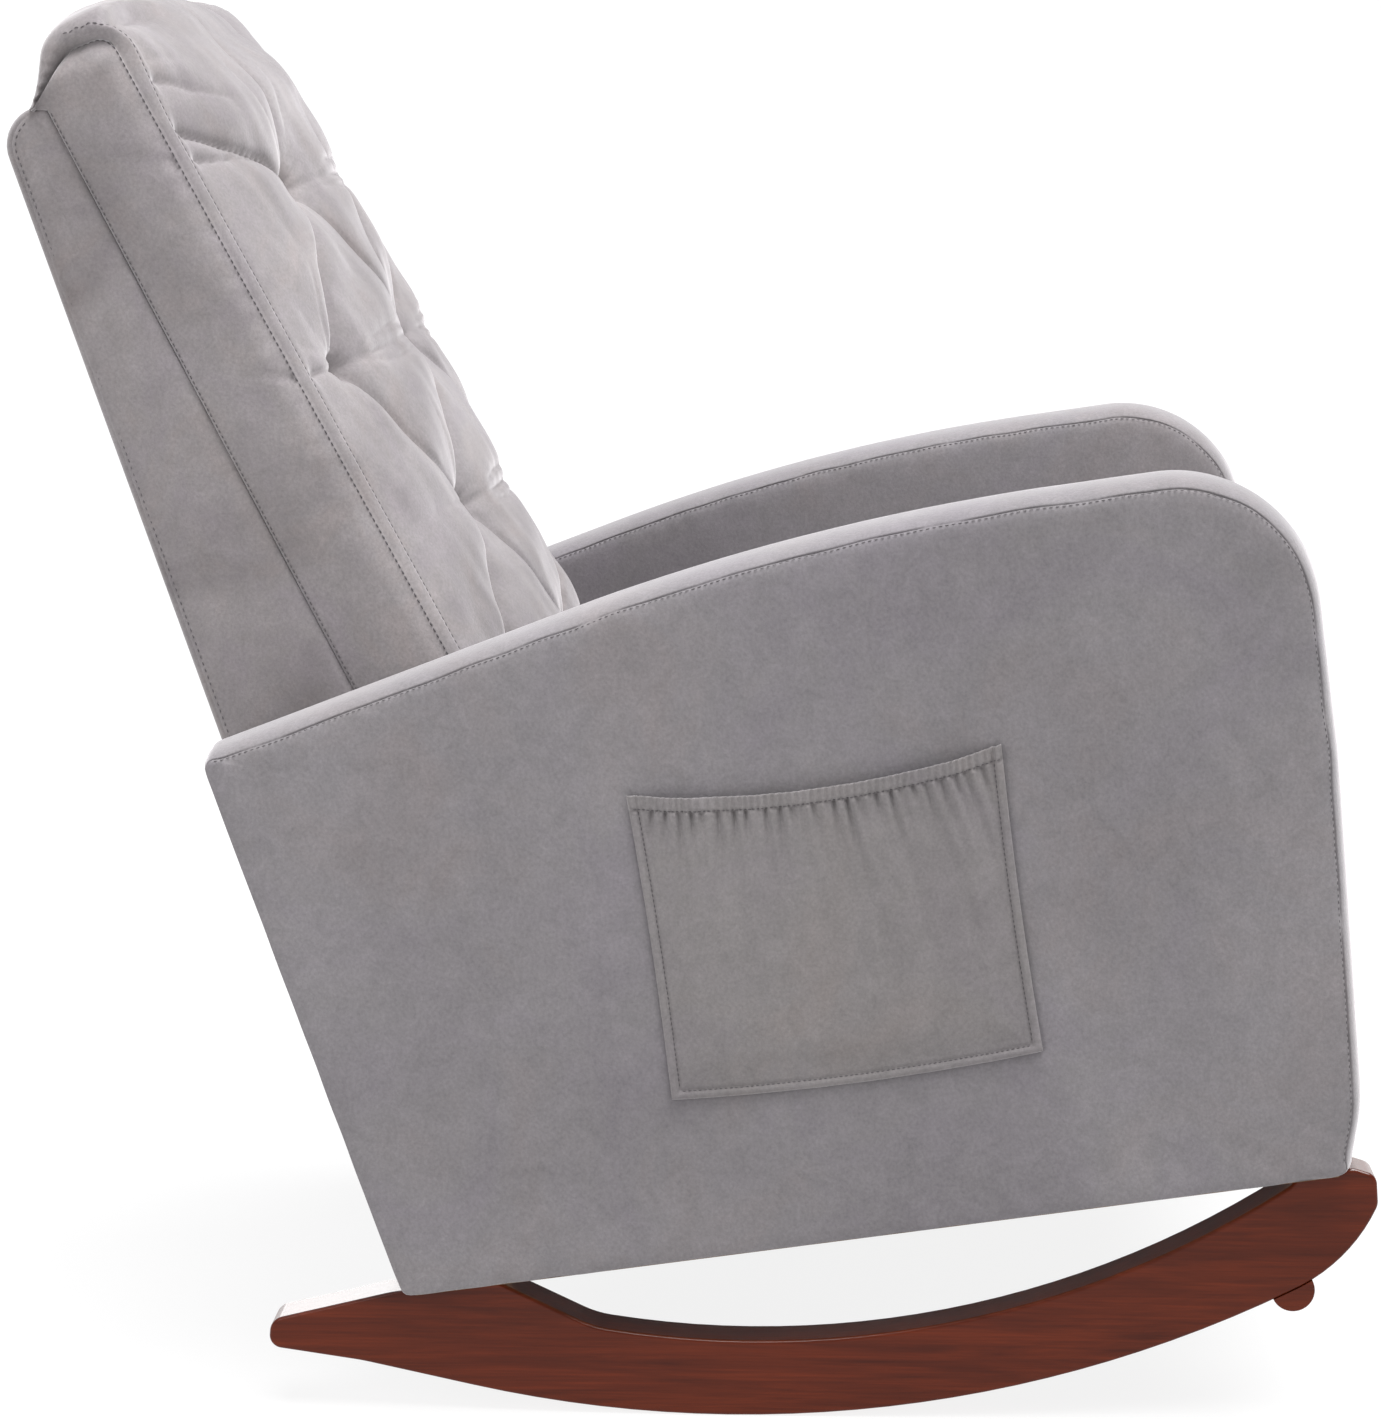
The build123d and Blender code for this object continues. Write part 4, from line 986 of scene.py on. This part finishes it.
# ---------- pockets ----------
POCKET_WIDTH = POCKET_REAR_Y - POCKET_FRONT_Y
POCKET_HEIGHT = POCKET_HIGH - POCKET_LOW
POCKET_SAG = 12.0  # of the top edge's middle
POCKET_FOOT_SAG = 5.0
POCKET_BAND = 10.0
POCKET_CLOTH = 1.3
POCKET_HEM = 6.0
POCKET_STAND = 1.6  # of the cloth's inner face over the arm at its edges
POCKET_BULGE = 6.4
POCKET_COLUMNS = 330
GATHER_PITCH = 5.0
POCKET_FOLDS = 27


def pocket_folds(across, down, side):
    """Folds that fan out below the gathers, each with a ridge beside it: every third one is long."""
    random = np.random.default_rng(131 + side)
    folds = np.zeros(across.shape)
    for number in range(POCKET_FOLDS):
        start = (number + random.uniform(0.15, 0.85)) / POCKET_FOLDS
        length = random.uniform(20, 40) if number % 3 else random.uniform(70, 130)
        drawn = (start - 0.42) * 0.5 + random.uniform(-0.05, 0.05)
        gap = across - (POCKET_WIDTH * start + drawn * down)
        deep = random.uniform(2.4, 3.8) * np.exp(-down / length)
        folds -= deep * np.exp(-(gap / (1.7 + 0.045 * down)) ** 2)
        folds += 0.5 * deep * np.exp(-((gap - 4.5 - 0.05 * down) / (2.4 + 0.05 * down)) ** 2)
    return folds


def pocket_stand(across, fall, side):
    """How far the pocket stands off the arm, over places across it and down from its top edge."""
    v = fall / POCKET_HEIGHT
    down = (fall - POCKET_BAND).clip(0)
    from_side = np.minimum(across, POCKET_WIDTH - across)
    hem = np.minimum(from_side, POCKET_HEIGHT - fall)
    stand = POCKET_STAND + POCKET_BULGE * smooth(hem, POCKET_HEM, POCKET_HEM + 26) * (1 - 0.45 * v)
    stand += 1.5 * (1 - smooth(hem, POCKET_HEM - 1.5, POCKET_HEM + 0.5)) * smooth(hem, -0.5, 2.0)
    stand -= 1.1 * np.exp(-((hem - POCKET_HEM) / 1.1) ** 2)
    band = 1 - smooth(fall, POCKET_BAND - 0.6, POCKET_BAND + 1.2)
    drift = 2.2 * ripple(across[0], 38, 101 + side)[None, :]
    gathers = np.sin(2 * math.pi * (across + drift) / GATHER_PITCH)
    stand += band * (0.75 * gathers + 0.9) - np.exp(-(fall - POCKET_BAND) ** 2)
    stand += (1 - band) * smooth(from_side, 4, 14) * pocket_folds(across, down, side)
    spread = (across - POCKET_WIDTH / 2) * (1 + 0.22 * v)
    slack = ripple(np.column_stack((spread.ravel(), v.ravel() * 25)), 34, 121 + side).reshape(v.shape)
    stand += 1.2 * slack * smooth(hem, POCKET_HEM, 30) * np.exp(-v * 1.4)
    fading = np.exp(-down / 42.0) * np.exp(-down / 9.0)
    stand += 0.8 * (1 - band) * fading * smooth(from_side, 2, 12) * gathers
    return np.maximum(stand, 0.6)


def make_pocket(name, side):
    """A patch pocket whose top is gathered on an elastic band."""
    u = np.linspace(0, 1, POCKET_COLUMNS)
    v = np.concatenate((
        np.linspace(0, 0.075, 16)[:-1], np.linspace(0.075, 0.9, 70)[:-1], np.linspace(0.9, 1, 20)))
    u_grid, v_grid = np.meshgrid(u, v)
    top_sag = POCKET_SAG * (1 - (2 * u_grid - 1) ** 2) * (1 - smooth(v_grid, 0, 0.75))
    foot_sag = POCKET_FOOT_SAG * np.sin(math.pi * u_grid) ** 0.8 * smooth(v_grid, 0.5, 1.0)
    y = POCKET_REAR_Y - POCKET_WIDTH * u_grid - 1.8 * np.sin(math.pi * v_grid) * (1 - 2 * u_grid)
    z = POCKET_HIGH - POCKET_HEIGHT * v_grid - top_sag - foot_sag
    inner_x = OUTER_X + pocket_stand(u_grid * POCKET_WIDTH, v_grid * POCKET_HEIGHT, side)
    outer = np.stack((side * (inner_x + POCKET_CLOTH), y, z), axis=-1)
    inner = np.stack((side * inner_x, y, z), axis=-1)
    count = inner_x.size
    quads = grid_faces(*inner_x.shape)
    faces = [*quads, *(quads[:, ::-1] + count)]
    index = np.arange(count).reshape(inner_x.shape)
    border = np.concatenate((index[0, :-1], index[:-1, -1], index[-1, :0:-1], index[:0:-1, 0]))
    faces += [(b, a, a + count, b + count) for a, b in zip(border, np.roll(border, -1))]
    points = np.concatenate((outer.reshape(-1, 3), inner.reshape(-1, 3)))
    piece = mesh_piece(f"side_pocket_{name}", points, faces, POCKET_VELVET, flip=side > 0)
    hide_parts(f"pocket_{name}", f"pocket_elastic_{name}")
    left = np.argmin(np.abs(u - POCKET_HEM / POCKET_WIDTH))
    right = np.argmin(np.abs(u - 1 + POCKET_HEM / POCKET_WIDTH))
    low = np.argmin(np.abs((1 - v) * POCKET_HEIGHT - POCKET_HEM))
    top = np.argmin(np.abs(v * POCKET_HEIGHT - POCKET_BAND))
    lines = (outer[top:low, left], outer[low, left:right], outer[top:low, right][::-1], outer[top, 2:-2])
    for number, line in enumerate(lines):
        away = np.tile((side, 0.0, 0.0), (len(line), 1))
        stitches(
            f"pocket_stitches_{name}_{number}", line, away, pitch=3.6, length=2.4, radius=0.35, raised=0.1)


# ---------- CAD nodes that stay ----------
NODE_MATERIALS = (
    (("runner_right", "runner_left", "stop_block"), RUNNER_WOOD),
    (("bolts", "washers", "nuts", "springs", "clips"), ZINC),
    (("foam",), FOAM),
    (("back_webbing",), WEBBING),
    (("seat_deck",), DECK_CLOTH),
    (("ties",), TWINE),
    (("dust_cover",), DUST_CLOTH),
    (("inner_board", "outer_board", "rear_board"), HARDBOARD),
)


def finish_cad_nodes():
    for name, obj in frame["nodes"].items():
        fitting = (made for words, made in NODE_MATERIALS if any(word in name for word in words))
        obj.data.materials.clear()
        obj.data.materials.append(next(fitting, FRAME_WOOD))


# ---------- camera, floor and light ----------
CAMERA_PLACE = (-3.0047, -0.1265, 0.91715)
CAMERA_FORWARD = (0.98723, 0.04574, -0.15257)
IMAGE_WIDTH = 1381
IMAGE_HEIGHT = 1419
FOCAL_PIXELS = 4000.0
SENSOR = 36.0


def make_camera():
    data = bpy.data.cameras.new("camera")
    data.sensor_fit = "AUTO"
    data.sensor_width = SENSOR
    data.lens = FOCAL_PIXELS / max(IMAGE_WIDTH, IMAGE_HEIGHT) * SENSOR
    camera = add_object("camera", data)
    camera.location = CAMERA_PLACE
    camera.rotation_euler = Vector(CAMERA_FORWARD).to_track_quat("-Z", "Y").to_euler()
    bpy.context.scene.camera = camera


FLOOR_REACH = 60.0


def make_floor():
    """A pale floor that glows a little, so it runs into the white background."""
    material, tree, shader = new_material("pale_floor")
    mottle = noise(tree, mapped(tree), 2.0, 2.0, 0.5)
    colour = ramp_between(tree, mottle, (0.3, grey(0.14)), (0.7, grey(0.16)))
    give(
        shader, Base_Color=colour, Roughness=0.9, Specular_IOR_Level=0.0,
        Emission_Color=(1, 1, 1, 1), Emission_Strength=0.86)
    mesh = bpy.data.meshes.new("floor")
    corners = [(x * FLOOR_REACH, y * FLOOR_REACH, 0) for x, y in ((-1, -1), (1, -1), (1, 1), (-1, 1))]
    mesh.from_pydata(corners, [], [(0, 1, 2, 3)])
    mesh.materials.append(material)
    add_object("floor", mesh)


def make_light(name, kind, energy, place_at, aim, size):
    data = bpy.data.lights.new(name, kind)
    data.energy = energy
    if kind == "AREA":
        data.shape = "DISK"
        data.size = size
    else:
        data.angle = size
    light = add_object(name, data)
    light.location = place_at
    light.rotation_euler = (Vector(aim) - Vector(place_at)).to_track_quat("-Z", "Y").to_euler()


HORIZON_BAND = 0.2  # height of the bright band round the horizon, as a sine
HORIZON = (1.02, 1.02, 1.02)
SKY = (0.38, 0.385, 0.40)


def make_world():
    """Lamps, and a bright band round the horizon under a dimmer sky, stronger from rear and left."""
    world = bpy.data.worlds.new("studio")
    world.use_nodes = True
    tree = world.node_tree
    direction = tree.nodes.new("ShaderNodeTexCoord").outputs["Generated"]
    split = node(tree, "ShaderNodeSeparateXYZ", Vector=direction)
    sky = ramp_between(
        tree, split.outputs["Z"], (0.0, HORIZON), (HORIZON_BAND, HORIZON), (2 * HORIZON_BAND, SKY),
        (1.0, SKY))
    from_rear = remapped(tree, split.outputs["Y"], (-1, 1), (0.80, 1.24))
    from_left = remapped(tree, split.outputs["X"], (-1, 0.5), (0.70, 1))
    give(tree.nodes["Background"], Color=sky, Strength=product(tree, from_rear, from_left))
    bpy.context.scene.world = world
    make_light("key", "SUN", 4.2, (-0.45, -0.6, 2.9), (0, 0, 0.3), math.radians(50))
    make_light("overhead", "AREA", 16.0, (-0.22, -0.35, 1.95), (0.08, -0.1, 0.4), 0.9)
    make_light("rear_side", "AREA", 10.0, (-1.7, 1.15, 1.1), (-0.3, 0.1, 0.55), 1.0)
    make_light("rim", "AREA", 4.5, (2.2, 0.55, 0.42), (-0.3, 0.28, 0.08), 1.1)
    bpy.context.scene.view_settings.view_transform = "Standard"


make_camera()
make_floor()
make_world()
finish_cad_nodes()
for side_name, side_sign in (("right", -1), ("left", 1)):
    make_arm(side_name, side_sign)
    make_pocket(side_name, side_sign)
make_back_shell()
make_buttons(*make_back_cushion())
make_seat_cushion()
make_apron()
